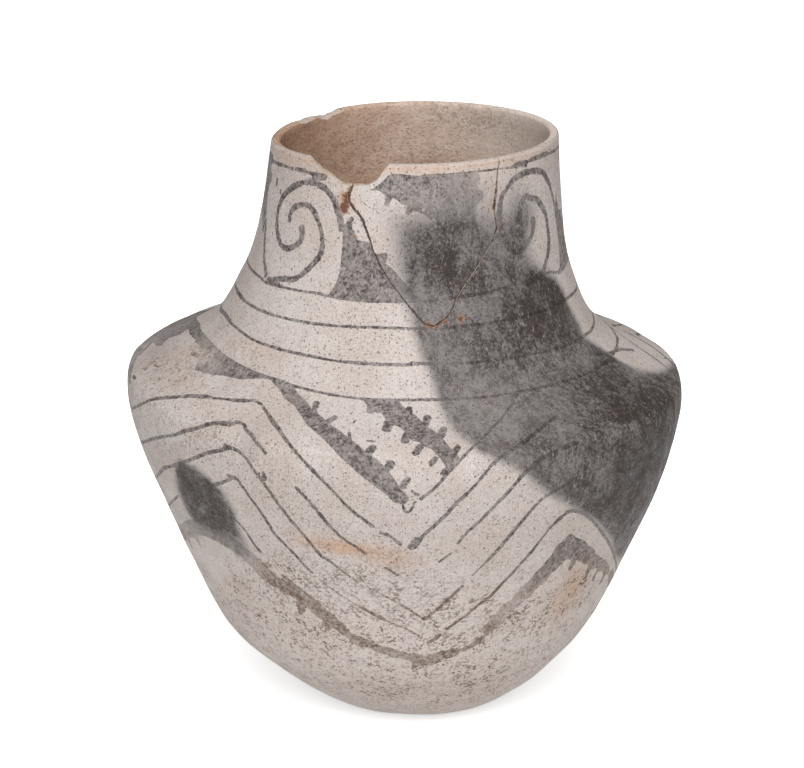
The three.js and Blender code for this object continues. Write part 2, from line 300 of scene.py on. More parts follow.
# The hooked scroll left of the front, as two arms and a few drops of paint
LEFT_SCROLL_MIDDLE = -50.5
LEFT_SCROLL = [
    (3.4, [(-52.9, 329.1), (-52.9, 331.6), (-51.7, 334.1), (-49.6, 336), (-46.7, 337.4), (-44.2, 337.8),
        (-41.7, 336.6), (-39.6, 334.5), (-37.9, 331.6), (-36.5, 328.3), (-35, 323.7), (-34.3, 319.5),
        (-34.8, 315.3), (-36.3, 312), (-38.3, 308.3), (-40.4, 305.3), (-42.9, 302.4), (-45.4, 300.8),
        (-47.9, 300.5), (-52.9, 298.8), (-55, 297.7), (-57.5, 297)]),
    (3.0, [(-60.5, 299), (-62.5, 301.3), (-64.6, 304.1), (-66.7, 307.4), (-68.8, 311.6), (-70.4, 315.3),
        (-71.7, 319), (-73, 322)]),
    (3.4, [(-45.2, 325), (-44.6, 322.8), (-45.2, 319.9), (-47.1, 317.4), (-49.6, 315.5), (-52.5, 314.7),
        (-55, 315.2), (-57.1, 317), (-59.2, 319.9), (-60.8, 323.3), (-61.7, 327.8), (-61.7, 332),
        (-60.4, 336.2), (-58.8, 339.5), (-56.7, 342), (-54.6, 343.7), (-52.1, 345.8), (-49.6, 347),
        (-47.1, 348), (-44.6, 348.7), (-41.7, 348.7), (-38.8, 348.3), (-36.3, 347.2), (-33.8, 345.3),
        (-32.1, 343.3), (-30.6, 340.3), (-29.4, 337), (-28.1, 333.3), (-27.1, 329.5)]),
    (4.4, [(-45.3, 325.6), (-45, 324.4)]), (2.4, [(-66.5, 345), (-66.5, 343)]),
    (1.5, [(-62, 341), (-62, 340)]), (1.1, [(-66.9, 350.8), (-66.9, 350.2)]),
]  # fmt: skip

# The scroll right of the front, half hidden in the smoke cloud
RIGHT_SCROLL_MIDDLE = 53.0
RIGHT_SCROLL = [
    (3.3, [(51.7, 323.7), (50.4, 320.3), (48.3, 317.8), (45.8, 315.3), (42, 314), (38.4, 316.5),
        (36, 322), (34, 332), (35.2, 342), (37.1, 344.9), (39.6, 347.8), (42.5, 349.9), (45.8, 350.8),
        (50, 351.2), (54.2, 350.3), (58.3, 348.7), (60.8, 347), (63.3, 343.7), (65.8, 339.9),
        (67.5, 336.2), (69.2, 332), (70.4, 329.5)]),
    (4.2, [(51.6, 326.6), (51.8, 325)]),
    (3.4, [(44, 330), (45.2, 336.5), (47.5, 339.5), (50, 338.3), (53.3, 337), (55.8, 334.9), (58.3, 332),
        (60.4, 328.7), (61.7, 324.5), (62.1, 320.3), (61.9, 315.3), (61.3, 312), (60, 308.7),
        (58.3, 305.8), (57.1, 303.7), (55.4, 301.6), (53.3, 300.3), (46, 298.5), (40, 301), (35, 306.5),
        (30, 315)]),
]  # fmt: skip

# Between two scrolls, one toothed solid rises from the lines at the left and one hangs from the lip at
# the right, with a bare slanting band between them.
STEP_MIDDLE = 0.0
STEP_SOLIDS = [
    [
        (-27.1, 333), (-26.2, 324.5), (-25.8, 315.3), (-25.8, 307.8), (-26.2, 303.7), (-27.1, 300.3),
        (-28.1, 297.8), (-28, 296), (4, 296), (4, 297), (0, 303), (-4.7, 309.5), (-6.5, 312),
        (-9.3, 314.1), (-8.6, 315.3), (-8.4, 317.8), (-9.3, 319.5), (-10.6, 319.1), (-12.5, 318.3),
        (-13.8, 319.5), (-15, 323.7), (-17, 324), (-20.2, 324.5), (-21.5, 327.8), (-22.8, 330),
        (-23, 334.5), (-24.2, 334.5), (-24.6, 330), (-25.4, 329),
    ],
    [
        (-17.2, 348.3), (-14.7, 350.3), (-12, 353.3), (-10.2, 355.5), (24.5, 356), (26, 352.5), (24, 350),
        (25.2, 347.4), (26.8, 346.5), (27.2, 343), (25, 341), (23.5, 335), (25.5, 326), (26.5, 315),
        (15, 326), (4.4, 337), (1.6, 338.7), (-0.2, 339.1), (-1.5, 337), (-2.9, 337.8), (-2.5, 341.6),
        (-4.7, 342.4), (-6.1, 344.1), (-7.9, 345.3), (-8.6, 343.7), (-9.7, 341.2), (-11.1, 341.6),
        (-10.9, 346.2), (-12, 347.4), (-13.8, 348.7),
    ],
]  # fmt: skip

# How the scrolls and the toothed solids share the neck: [middle angle, width against the front ones]
STEP_PLACES = [(0.0, 1.0), (-99.8, 1.0), (96.4, 1.0), (177.4, 0.74)]
SCROLL_PLACES = [(-145.3, 0.74), (140.3, 0.74)]

# The zigzag on the belly. Each valley hangs between two peaks. The front one, at -1, and what shows of
# its neighbours are drawn as they are on the jar, and the rest repeat its two arms.
LEFT_ARM = [
    (2.0, [(-37.5, 235.5), (-35, 233.5), (-32.3, 229), (-29.6, 224.5), (-26.9, 220.5), (-24.6, 215.5),
        (-22.3, 211.5), (-20, 207), (-17.7, 202), (-15.4, 196.5), (-13.5, 191.5), (-11.5, 185.5),
        (-9.6, 181), (-7.7, 177), (-6.6, 174.5)]),
    (2.2, [(-5, 170.8), (-3.8, 170), (-2.9, 168.5), (-1.2, 164.5)]),
    (1.9, [(-37, 219.4), (-35, 218.8), (-33.5, 216), (-31.2, 213), (-29.2, 209.5), (-27.5, 206.2)]),
    (1.9, [(-21.2, 191.2), (-19.2, 186), (-16.9, 178.5), (-15.4, 173), (-13.5, 167.5), (-11.5, 163.5),
        (-10, 161), (-8.6, 157.7)]),
    (1.6, [(-4.5, 149.5), (-1.8, 145)]),
    (2.0, [(-37, 205.6), (-35, 205), (-33.5, 204.2), (-31.5, 201), (-30, 196), (-28.5, 191), (-26.9, 185),
        (-25.4, 179), (-23.8, 173), (-21.9, 166.5), (-20, 160), (-18.5, 154), (-16.6, 150.8)]),
    (1.9, [(-28.3, 196.5), (-27.8, 194)]), (1.5, [(-8, 134.5), (-4, 129.5), (0.5, 122.5), (3.5, 117)]),
    (2.0, [(-37, 190), (-35, 189.8), (-34.2, 187.5), (-32.3, 180.5), (-30.8, 175), (-29.2, 167),
        (-28.1, 161), (-25.2, 153.2), (-23.2, 146.8), (-21.4, 141.4)]),
    (1.3, [(-19.5, 136.5), (-17.3, 132.3), (-13.2, 125.5), (-10.6, 121.8)]),
    (2.3, [(-10.8, 122), (-8.2, 118.8), (-5.5, 115)]),
    (1.3, [(-5.5, 115), (-2.7, 112), (0.5, 108.5), (3.5, 104)]),
    (1.7, [(-16.2, 150), (-13, 143), (-10.5, 138.5)]), (2.3, [(-29, 134.5), (-25, 127.5), (-21, 119.5)]),
    (1.9, [(-38.3, 165), (-36.2, 159.5), (-35, 153), (-33.4, 147.2)]),
]  # fmt: skip
RIGHT_ARM = [
    (1.6, [(3, 190.8), (3.9, 192.4), (5, 195), (6.9, 200), (8.5, 204.5), (10.8, 210), (13.1, 215),
        (15, 219), (20, 229), (25, 238.5), (30, 247)]),
    (4.4, [(1.2, 163.5), (2.2, 166.8)]),
    (2.1, [(1.6, 164), (3.5, 170), (5.4, 175), (6.9, 179), (8.5, 183.5), (9.6, 187.5), (11.5, 192),
        (13.5, 197.5), (15.4, 203), (17.5, 208), (23, 215), (29, 222), (35, 228)]),
    (1.6, [(6.9, 154), (9.2, 159)]),
    (2.0, [(10.6, 165), (12.7, 172), (14.6, 176.5), (16.5, 182), (18.1, 186.5), (19.6, 190.5),
        (21.5, 196), (23.5, 201), (27.7, 207.5), (35, 211)]),
    (1.7, [(4.5, 116), (7, 122), (10, 130), (12.5, 137)]), (1.2, [(14.5, 144), (17.3, 152.5)]),
    (2.0, [(17.3, 152.5), (19.6, 160), (21.5, 167), (23.1, 172.5), (24.6, 177), (26.2, 182),
        (28.5, 186.5), (35, 193)]),
    (2.4, [(5.8, 100.3), (7.2, 102), (8.2, 105)]),
    (1.9, [(10, 109), (12, 113), (14.5, 118), (16.5, 123), (19.5, 128.5), (21.5, 135), (23.5, 141),
        (25.5, 148), (27.5, 155), (29, 161), (30.8, 167.5), (32.5, 171)]),
    (3.0, [(32.5, 171), (33.1, 172)]),
]  # fmt: skip
LEFT_NEIGHBOUR = [
    (2.0, [(-37.5, 235.5), (-40, 232.8), (-44.2, 231.1), (-47.5, 228.9), (-50, 227.4), (-52.5, 225),
        (-55, 222.6), (-57.1, 219.4), (-59.2, 216.1), (-61.3, 213.3), (-64.2, 208.9), (-66.7, 205.6),
        (-70, 201.7), (-73.8, 197.5)]),
    (1.9, [(-36.5, 218.8), (-37.5, 217), (-40, 216.1), (-42.1, 213.5), (-44.2, 210), (-46.7, 207.2),
        (-49.2, 204.4), (-51.7, 201.1), (-54.2, 198.9), (-60, 193.3), (-66.7, 186.1), (-70, 182.8),
        (-73.8, 179)]),
    (3.2, [(-49.5, 228), (-54, 223.9), (-57, 219.8), (-61.5, 213.2)]),
    (2.8, [(-38.5, 234.8), (-42.5, 232)]),
    (3.2, [(-37.5, 217), (-40, 216), (-42, 213.8), (-43.4, 211.4)]),
    (1.9, [(-36, 204.8), (-37.5, 202.8), (-40, 200.6), (-42.5, 197.8), (-45, 194.4), (-47.5, 191.1),
        (-55, 182.2), (-60, 176.7), (-65.8, 168.3), (-73.8, 159)]),
    (1.9, [(-36, 189), (-37.5, 186.7), (-40, 183.3), (-41.7, 181.7)]),
    (1.3, [(-57.5, 163), (-62, 156.5), (-68, 149), (-73.8, 142)]),
]  # fmt: skip
RIGHT_NEIGHBOUR = [
    (2.0, [(35, 228), (39.5, 217.5), (45.5, 207), (54.5, 192.5), (63, 176), (71, 160)]),
    (1.9, [(35, 211), (41, 203), (48, 190), (55, 176.5), (63, 160), (71, 142)]),
    (1.9, [(35, 193), (40, 186), (47, 172), (55, 156), (63, 140), (71, 124)]),
    (1.9, [(33, 172.5), (36, 174.8), (41, 168), (48, 153), (55, 139), (63, 124), (71, 110)]),
]  # fmt: skip

# The toothed band inside the valley's left arm, and the one that hangs beside it
ARM_BAND = [
    (-37.7, 251.5), (-34, 250.5), (-30, 249), (-28.4, 245.5), (-26, 243), (-24, 240), (-22.8, 237.5),
    (-20.5, 235.3), (-18.2, 232), (-16, 228.5), (-13.5, 224.8), (-11.2, 220.8), (-9.2, 217),
    (-7.6, 213.5), (-5.6, 210.5), (-4.2, 207.5), (-3, 204.5), (-1.8, 200), (-0.9, 196.5), (0.2, 193),
    (0.9, 190.3), (-0.2, 187.6), (-2, 188.3), (-4, 193.5), (-6.5, 198.2), (-8.5, 202), (-10.4, 205.8),
    (-12.3, 209.5), (-14.5, 214.3), (-16.6, 218.8), (-19, 222.8), (-21.8, 227.2), (-24.4, 232.2),
    (-27, 237), (-30.6, 240.4), (-33, 244.8), (-37.7, 249.4),
]  # fmt: skip
ARM_TEETH = [
    (4.0, [(-21.8, 236.5), (-22.1, 240.6)]), (4.2, [(-17.3, 230.5), (-16.4, 233.3)]),
    (2.0, [(-11.2, 220.5), (-11.7, 224.3)]), (4.2, [(-7, 212.5), (-6.5, 215.6)]),
    (4.2, [(-3.4, 205.8), (-2.7, 207.6)]), (3.5, [(-0.3, 197.6), (0.4, 200.4)]),
    (1.4, [(-0.4, 187), (-0.2, 184.2), (0.4, 183.2), (1, 184.2), (1.5, 186.5), (1.7, 189)]),
]  # fmt: skip
HANGING_BAND = [
    (-11, 247.8), (-10.2, 245.4), (-9.4, 243.6), (-9.2, 239), (-8.2, 238.4), (-7.4, 239.6), (-5.6, 239),
    (-4.7, 236.5), (-4.3, 233), (-2.6, 232), (-1.3, 230.8), (-0.1, 227.5), (0.4, 224), (1.4, 221.3),
    (2.8, 220), (3.8, 217.8), (5.3, 215.4), (6.2, 212), (7, 209), (7.7, 206.8), (8.7, 205.5),
    (9.5, 206.4), (10.5, 210), (9.9, 213), (8.8, 216.8), (8.1, 220.5), (7.4, 223.8), (6.2, 227.6),
    (4.6, 231), (3.7, 235), (2.4, 238.4), (1.4, 240.2), (0.1, 242.8), (-1.1, 245.3), (-1.9, 247.8),
]  # fmt: skip
HANGING_TEETH = [
    (5.0, [(-3.5, 234), (-4.0, 229.2)]), (4.5, [(0.6, 225.5), (0, 221.5)]),
    (3.8, [(2.9, 217), (2.1, 214)]), (3.3, [(5.6, 210), (5.1, 208.6)]),
    (2.9, [(7.9, 205.4), (7.2, 203.8)]), (3.2, [(9.7, 213.5), (10.4, 216)]),
    (4.0, [(7.5, 224), (8.4, 228)]), (3.8, [(4.5, 232), (5.1, 236.4)]), (3.8, [(0.9, 239), (0.9, 242)]),
]  # fmt: skip
PEAK_WEDGE = [
    (-37.7, 251.5), (-37.7, 250), (-40, 249.3), (-43, 247.5), (-46, 245), (-50, 243.5), (-53, 242.7),
    (-56, 240.5), (-60, 238.8), (-64, 237.2), (-65.5, 239), (-66.5, 242), (-69, 245), (-72, 247),
    (-75, 248.3), (-80, 248), (-86, 245.8), (-92, 243.2), (-98, 240.5), (-104, 239), (-101, 243.8),
    (-93.5, 249), (-84.5, 252.2), (-76, 254), (-70, 254.3), (-60, 253.4), (-50, 252.3),
]  # fmt: skip
WEDGE_TEETH = [
    (3.0, [(-69, 244.5), (-73, 243.2)]), (2.6, [(-76, 250), (-79.4, 248.6)]),
]  # fmt: skip
PAINT_SPOTS = [
    (1.5, [(-7.5, 220.2), (-6.6, 220)]), (0.9, [(-5.5, 223.4), (-5.3, 221.8)]),
    (1.2, [(-11.6, 231.2), (-11.3, 233)]), (1.5, [(-75.4, 224.8), (-77.6, 223.6)]),
    (1.5, [(-76, 212), (-78.6, 211.4)]), (0.9, [(-12.8, 238.2), (-12.6, 237)]),
    (0.9, [(-12.2, 240.6), (-12.2, 239.8)]), (1.4, [(1.4, 194.8), (1.7, 193.4)]),
    (1.7, [(2.2, 193.4), (2.6, 192.8)]), (2.4, [(-24.9, 330.6), (-23.4, 333.8)]),
]  # fmt: skip

# The worn end of a band on the left neighbour's shoulder
FAR_LEFT_BAND = [
    (-122, 236), (-114, 235), (-108, 238), (-101, 243), (-96, 241.5), (-93.5, 237), (-94.5, 231),
    (-90, 228.5), (-91, 225), (-95.5, 222.5), (-95, 218), (-90, 215.5), (-85, 213), (-80, 210),
    (-77, 207.5), (-80, 206), (-86, 208), (-92, 209.5), (-99, 209), (-108, 207), (-122, 204),
]  # fmt: skip

# The broad toothed band that closes the design below
LEFT_HEM = [
    (-40, 150), (-35, 143.2), (-31.8, 136), (-30, 133.2), (-27.3, 131.4), (-25, 127.7), (-22.7, 123.2),
    (-20.5, 119.5), (-17.3, 114.1), (-15, 106.8), (-11.4, 102.3), (-9.1, 98.6), (-4.5, 96.8), (0, 93),
    (0, 87), (-0.5, 87.7), (-3.2, 87.7), (-4, 84), (-5, 89.5), (-7.7, 91.4), (-11.4, 94.1), (-13.6, 97.7),
    (-14.3, 94), (-15.5, 94), (-15, 99.5), (-16.8, 101.4), (-18.6, 105), (-19.8, 102.3), (-21.1, 102.3),
    (-20.9, 108.6), (-22.7, 110.5), (-25, 115), (-26.4, 110.5), (-27.7, 110.5), (-27.7, 120.5),
    (-29.5, 122.3), (-32.7, 126), (-36.8, 129.5), (-40, 138),
]  # fmt: skip
RIGHT_HEM = [
    (-2.5, 95), (5, 91), (10, 93), (14.5, 95), (17.5, 97), (19.5, 102), (19.8, 108), (20, 113), (22, 118),
    (24.5, 124), (26.5, 130), (29, 136), (31, 143), (33, 149), (33.5, 155), (35, 157), (36.8, 161),
    (38, 159), (38, 144), (36, 139), (34.5, 135), (32.5, 128), (30, 123), (28, 118), (25, 112), (24, 108),
    (21, 102), (19, 97), (17, 94), (14, 89), (10, 87), (6.4, 82.3), (3.2, 83.2), (2.7, 80), (1.4, 80),
    (0.9, 85), (-2.5, 88),
]  # fmt: skip
RIGHT_NEIGHBOUR_HEM = [
    (37.5, 160), (39, 157), (41.5, 154), (44, 149), (46.5, 145), (49, 140), (52.5, 135), (56, 129),
    (60, 123), (64, 118), (71.2, 108), (71.2, 97), (67, 104), (62, 115), (59, 119), (58.6, 114),
    (57.2, 115), (56.6, 121.5), (53.4, 125), (53, 119.5), (51.8, 120), (51.6, 127), (49.4, 129.5),
    (49, 124), (47.8, 124.6), (47.6, 131.6), (44.5, 137), (41.8, 141), (41.4, 135), (40, 136),
    (39.6, 142.5), (37.5, 144),
]  # fmt: skip
LEFT_NEIGHBOUR_HEM = [
    (-38.5, 149), (-42, 153), (-46, 153.5), (-50, 155.5), (-55, 151), (-60, 145.8), (-65, 139.8),
    (-70, 134.4), (-74.2, 130.5), (-74.2, 119.5), (-70, 124), (-66.5, 128.5), (-66, 123.5), (-64.8, 124),
    (-64.2, 130.5), (-60, 135), (-58.4, 137.4), (-58, 131.6), (-56.8, 132), (-56.2, 139.5), (-52, 143.2),
    (-48, 143.5), (-44, 142), (-38.5, 138),
]  # fmt: skip

# The valleys that repeat the arms: [left peak, valley, right peak, lift at the left peak, at the valley
# and at the right peak]. None leaves an arm out.
VALLEYS = [
    (-112, -74, None, -4, 33, None),
    (None, 71, 107, None, -3, 4),
    (107, 143, 176, 4, -2, 2),
    (176, 212, 248, 2, 5, -4),
]
FRONT_LEFT_PEAK, FRONT_VALLEY, FRONT_RIGHT_PEAK = -37.0, -0.5, 35.0


def arm_copy(points, front_peak, peak, valley, peak_lift, valley_lift):
    """Part of the front valley's arm, copied to another peak and valley."""
    out = []
    for angle, way in points:
        share = (angle - front_peak) / (FRONT_VALLEY - front_peak)
        lift = peak_lift + (valley_lift - peak_lift) * share
        out.append((peak + (valley - peak) * share, way + lift))
    return out


def painted_design():
    """All brush lines as [width, points], and all solid areas as outlines."""
    lines = [*NECK_LINES, *LEFT_SCROLL, *RIGHT_SCROLL]
    lines += [*ARM_TEETH, *HANGING_TEETH, *WEDGE_TEETH, *PAINT_SPOTS]
    areas = [ARM_BAND, HANGING_BAND, PEAK_WEDGE, FAR_LEFT_BAND]
    areas += [LEFT_HEM, RIGHT_HEM, RIGHT_NEIGHBOUR_HEM, LEFT_NEIGHBOUR_HEM]
    for middle, width in SCROLL_PLACES:
        lines += [(w, moved(p, LEFT_SCROLL_MIDDLE, middle, width)) for w, p in LEFT_SCROLL]
    for middle, width in STEP_PLACES:
        areas += [moved(solid, STEP_MIDDLE, middle, width) for solid in STEP_SOLIDS]
    lines += [*LEFT_ARM, *RIGHT_ARM, *LEFT_NEIGHBOUR, *RIGHT_NEIGHBOUR]
    for left, valley, right, left_lift, valley_lift, right_lift in VALLEYS:
        if right is not None:
            place = (FRONT_RIGHT_PEAK, right, valley, right_lift, valley_lift)
            lines += [(w, arm_copy(p, *place)) for w, p in RIGHT_ARM]
            areas += [arm_copy(RIGHT_HEM, *place)]
        if left is not None:
            place = (FRONT_LEFT_PEAK, left, valley, left_lift, valley_lift)
            lines += [(w, arm_copy(p, *place)) for w, p in LEFT_ARM]
            areas += [arm_copy(LEFT_HEM, *place)]
        if left is not None and right is not None:
            areas += [arm_copy(ARM_BAND, *place), moved(HANGING_BAND, 0, valley, 1.0, 4.0)]
            lines += [(w, arm_copy(p, *place)) for w, p in ARM_TEETH]
            lines += [(w, moved(p, 0, valley, 1.0, 4.0)) for w, p in HANGING_TEETH]
    return lines, areas


# Smoke clouds left by the firing: an outline, and then blobs as [angle, way up, size round, size up, share]
GREAT_CLOUD = [
    (-8, 335), (-3, 300), (0.5, 290), (1.9, 283), (3.5, 275), (4.4, 270), (6.9, 262), (8.1, 247),
    (9.2, 237), (10.4, 227), (12.7, 219), (14.6, 212), (17.7, 208), (20.8, 204), (23.5, 199.5),
    (25.8, 194), (28.5, 188), (31.5, 183), (34.2, 179), (38, 173), (42.5, 166), (47.5, 156), (50, 151),
    (53, 145), (56, 138), (59, 131), (66, 122), (76, 116), (90, 120), (104, 136), (113, 165), (112, 190),
    (104, 203), (94, 213), (86, 218), (80, 222.5), (76.5, 229), (75, 237), (74, 244), (73.5, 250),
    (72, 256), (70, 260), (68, 263.8), (69.3, 268.8), (68, 275), (67, 281), (66.7, 287), (62.5, 295.3),
    (58.3, 298.7), (53.3, 303.7), (50, 307.8), (48.5, 313), (50, 320), (53, 331), (52, 339), (46, 345),
    (38, 348), (20, 354), (4, 344),
]  # fmt: skip
SMALL_CLOUD = [
    (-56.7, 154), (-56.7, 169.4), (-55.4, 176), (-54.2, 182.8), (-51.7, 187.8), (-49.2, 188.9),
    (-45.8, 188.3), (-42.5, 185), (-39.6, 180.6), (-37.9, 173.9), (-37.3, 167.2), (-37.9, 160.6),
    (-37, 152), (-36.3, 147), (-38.5, 141), (-41.7, 138.3), (-42.5, 146), (-45, 146), (-50, 148.3),
    (-55, 148.3),
]  # fmt: skip
CLOUD_BLOBS = [
    (55, 292, 14, 12, 0.26), (8, 314, 8, 9, 0.2), (18, 305, 10, 12, 0.2), (22, 324, 10, 12, 0.05),
    (60, 214, 9, 11, 0.5), (62, 196, 12, 14, 0.2), (48, 286, 14, 16, 0.16), (54, 224, 7, 8, 0.16),
    (57, 232, 3, 2, 0.2), (72, 245, 5, 2.5, 0.2), (57, 283, 9, 14, 0.32), (58, 238, 10, 7, 0.3),
    (74, 232, 5, 5, -0.15), (58, 229, 2, 1.5, -0.3), (48, 210, 6, 4, -0.2), (40, 275, 16, 14, 0.12),
    (16, 340, 40, 9, -0.3), (28, 240, 14, 20, -0.02), (24, 285, 16, 10, -0.04), (54, 170, 12, 18, 0.1),
    (36, 195, 10, 8, -0.04), (92, 180, 16, 30, -0.1), (35, 345, 5, 9, -0.4), (43, 334, 5, 7, 0.12),
    (8, 331, 8, 6, 0.24), (21, 333, 8, 6, 0.16), (64, 215, 8, 10, 0.15), (28, 351, 14, 6, -0.22),
    (60, 190, 22, 34, 0.3), (18, 296, 12, 8, -0.12), (20, 236, 12, 20, -0.1),
]  # fmt: skip
SMALL_CLOUD_BLOBS = [
    (-51, 178, 5, 8, 0.4), (-45, 166, 6, 9, 0.4), (-50, 160, 4, 6, 0.2), (-40, 146, 6, 8, -0.55),
    (-49, 150, 9, 4, -0.4), (-39.5, 170, 2.5, 9, -0.25), (-56, 166, 2, 12, -0.2),
]  # fmt: skip
DARKEST_SMOKE = 1.28

# Faint smoke on the slip beside the clouds, as blobs
SMUDGES = [
    (-31, 212, 3, 12, 0.22), (-57, 146, 9, 6, 0.2), (-86, 228, 9, 10, 0.2), (128, 214, 14, 18, 0.25),
    (-150, 190, 12, 20, 0.2),
]  # fmt: skip

# Ground grit and fine wear over the slip, as blobs
GRITTY = [
    (-14, 140, 20, 18, 0.85), (4, 118, 20, 20, 0.8), (-32, 122, 14, 18, 0.6), (22, 108, 14, 18, 0.55),
    (-20, 95, 24, 14, 0.45), (10, 85, 20, 12, 0.35), (-68, 236, 26, 30, 0.5), (-52, 262, 24, 8, 0.3),
    (-24, 175, 10, 20, 0.3), (-8, 165, 12, 10, 0.4), (24, 150, 10, 18, 0.3), (-55, 200, 20, 26, 0.4),
    (-35, 200, 12, 20, 0.25), (0, 55, 75, 26, 0.45), (45, 105, 16, 22, 0.35), (150, 110, 50, 30, 0.6),
    (-140, 130, 40, 26, 0.6), (125, 250, 25, 20, 0.4), (-165, 240, 30, 16, 0.4),
]  # fmt: skip

# Where the paint is rubbed thin, as blobs
RUBBED = [
    (-88, 214, 10, 9, 0.5), (-102, 222, 12, 14, 0.32), (-70, 245, 9, 10, 0.5), (-36, 138, 5, 8, 0.5),
    (-66, 246, 7, 7, 0.3), (26, 118, 6, 14, 0.5), (-14, 138, 10, 9, 0.6), (-6, 128, 10, 10, 0.5),
    (15, 148, 6, 8, 0.5), (-60, 140, 12, 10, 0.35), (0, 92, 10, 8, 0.2), (-50, 330, 12, 14, 0.12),
    (62, 320, 8, 20, 0.2), (150, 140, 25, 25, 0.4), (-140, 120, 25, 25, 0.45), (6, 346, 22, 12, 0.15),
    (25, 351, 5, 7, 0.45), (120, 310, 10, 12, 0.35), (-170, 325, 14, 12, 0.35), (95, 150, 12, 20, 0.3),
]  # fmt: skip

# Stains of the ground, as blobs
ORANGE_STAINS = [
    (-52, 263, 10, 4, 0.3), (-75, 240, 8, 8, 0.2), (-62, 228, 8, 7, 0.18), (-46, 222, 7, 5, 0.15),
    (-44, 338, 5, 12, 0.12), (-23, 341, 4, 5, 0.3), (2, 338, 4, 5, 0.2), (-12, 160, 8, 4, 0.9),
    (-4, 155, 6, 6, 0.5), (-19, 162, 6, 5, 0.4), (-27.5, 345, 2.5, 3, 0.9), (-30, 355.5, 14, 3, 0.5),
    (0, 359, 60, 2.8, 0.6), (-60, 357, 12, 3, 0.3), (31, 344, 4, 9, 0.3), (44, 120, 5, 16, 0.6),
    (120, 200, 14, 16, 0.4), (-130, 150, 12, 12, 0.5), (170, 120, 18, 10, 0.5), (22, 350, 3, 4, 0.35),
]  # fmt: skip
BROWN_STAINS = [
    (44, 118, 9, 22, 0.7), (25, 112, 8, 12, 0.4), (-25, 105, 16, 20, 0.3), (10, 60, 40, 20, 0.35),
    (-60, 90, 20, 25, 0.3), (80, 80, 20, 25, 0.3), (150, 95, 30, 30, 0.4), (-150, 110, 30, 25, 0.4),
    (-66, 250, 8, 6, 0.3), (-80, 222, 8, 12, 0.3), (0, 359.6, 300, 2.4, 0.12), (-35, 137, 4, 6, 0.6),
    (-46, 118, 4, 10, 0.5), (26, 350, 9, 9, 0.2),
]  # fmt: skip

# Glue that ran out and stained the wall, and khaki stains of the inside by height, as blobs
GLUE_STAINS = [
    (-26.7, 338.7, 1.9, 2.1, 1.3), (-25.7, 343, 1.4, 3.2, 1.0), (-24.9, 348, 0.9, 3, 0.8),
    (-27.6, 343.5, 1.8, 4, 0.5), (-21.6, 326.2, 1.5, 0.8, 0.6), (-23.4, 325.6, 1, 0.7, 0.4),
    (7, 285.5, 1.2, 1.6, 0.7), (9.4, 284.2, 1.6, 1, 0.9), (12.4, 286.5, 0.9, 1.4, 0.8),
    (17.5, 287, 1.2, 1.5, 1.0), (31.6, 338, 0.5, 1.5, 1.1), (32.9, 328, 0.5, 1.2, 0.9),
    (25.8, 314.2, 0.5, 0.8, 0.9), (27.8, 318, 0.4, 1.5, 0.6),
]  # fmt: skip
INNER_STAINS = [
    (146, 287, 20, 8, 0.5), (120, 280, 16, 12, 0.15), (-150, 272, 25, 10, 0.2), (170, 262, 14, 6, 0.35),
]  # fmt: skip

# How wide each crack shows, as [share of its length below the lip, width against the mean]
LEFT_CRACK_WIDTHS = [
    (0, 1.2), (0.2, 1.6), (0.36, 1.2), (0.46, 1.1), (0.52, 0.5), (0.8, 0.45), (0.9, 0.8), (1, 1.3),
]  # fmt: skip
RIGHT_CRACK_WIDTHS = [
    (0, 0.6), (0.16, 0.8), (0.28, 1.5), (0.33, 0.6), (0.44, 0.9), (0.55, 0.5), (0.8, 0.6), (1, 1.3),
]  # fmt: skip

# The glue starts this far under the lip or the front chip, which ends at an angle
GLUE_UNDER_LIP = 3.2
CHIP_END = -9.0

# The glue's film: its share of the gap, how deep its middle lies, its depth, and how far out the bead is
FILM_SHARE = 0.9
FILM_MIDDLE = 2.3
FILM_DEPTH = 3.6
BEAD_LIFT = 1.85

# Pits where temper grains fell out, as [angle, way up, width, depth], and how many more lie about
PITS = [
    (18, 176.5, 2.6, 0.9), (-28, 352, 2.0, 0.5), (34.2, 175, 1.8, 0.6), (47, 190, 2.2, 0.6),
    (-8, 139, 2.0, 0.6), (-33, 108, 2.2, 0.7), (12, 72, 2.4, 0.7), (-20, 128, 1.8, 0.6),
    (29, 128, 2.0, 0.6), (-48, 120, 2.2, 0.6),
]  # fmt: skip
MORE_PITS = 150
LOWEST_PIT, HIGHEST_PIT = 20, 345

# The camera that the photograph's outline gives, with its tilt down in degrees
CAMERA_LENS = 120.9
CAMERA_DOWN = 18.3
CAMERA_TARGET = (-1.35, 0.0, 164.27)
CAMERA_DISTANCE = 1367.1

# The stage, in metres: the floor's radius and, as a share of white, the light that comes from all round
FLOOR_RADIUS = 2.4
ROOM_LIGHT = 0.24

# The mesh: coarse cells round the jar, rows of each part of the section, and how many of the finest cells
# lie along a coarse one. Cells are coarse below the lowest paint and deep inside the jar.
TURN_CELLS = 144
FOOT_ROWS, OUTSIDE_ROWS, LIP_ROWS, INSIDE_ROWS, FLOOR_ROWS = 5, 60, 4, 48, 4
LIP_START = FOOT_ROWS + OUTSIDE_ROWS
INSIDE_START = LIP_START + LIP_ROWS
FLOOR_START = INSIDE_START + INSIDE_ROWS
ALL_ROWS = FLOOR_START + FLOOR_ROWS
FINEST = 8
LOWEST_PAINT = 72.0
FINE_INSIDE_ROWS = 12
SHORT_EDGE = 3.2

# A place on no brush line, and a way up that is nowhere on the outside
FAR_OFF = 9.0
NOWHERE = -500.0

# One degree round the neck at the middle of the sherd, in millimetres, and a height clear of the lip
NECK_DEGREE = math.radians(float(radius_at(LIP_HEIGHT - SHERD_LENGTH / 2)))
OVER_LIP = LIP_HEIGHT + 12


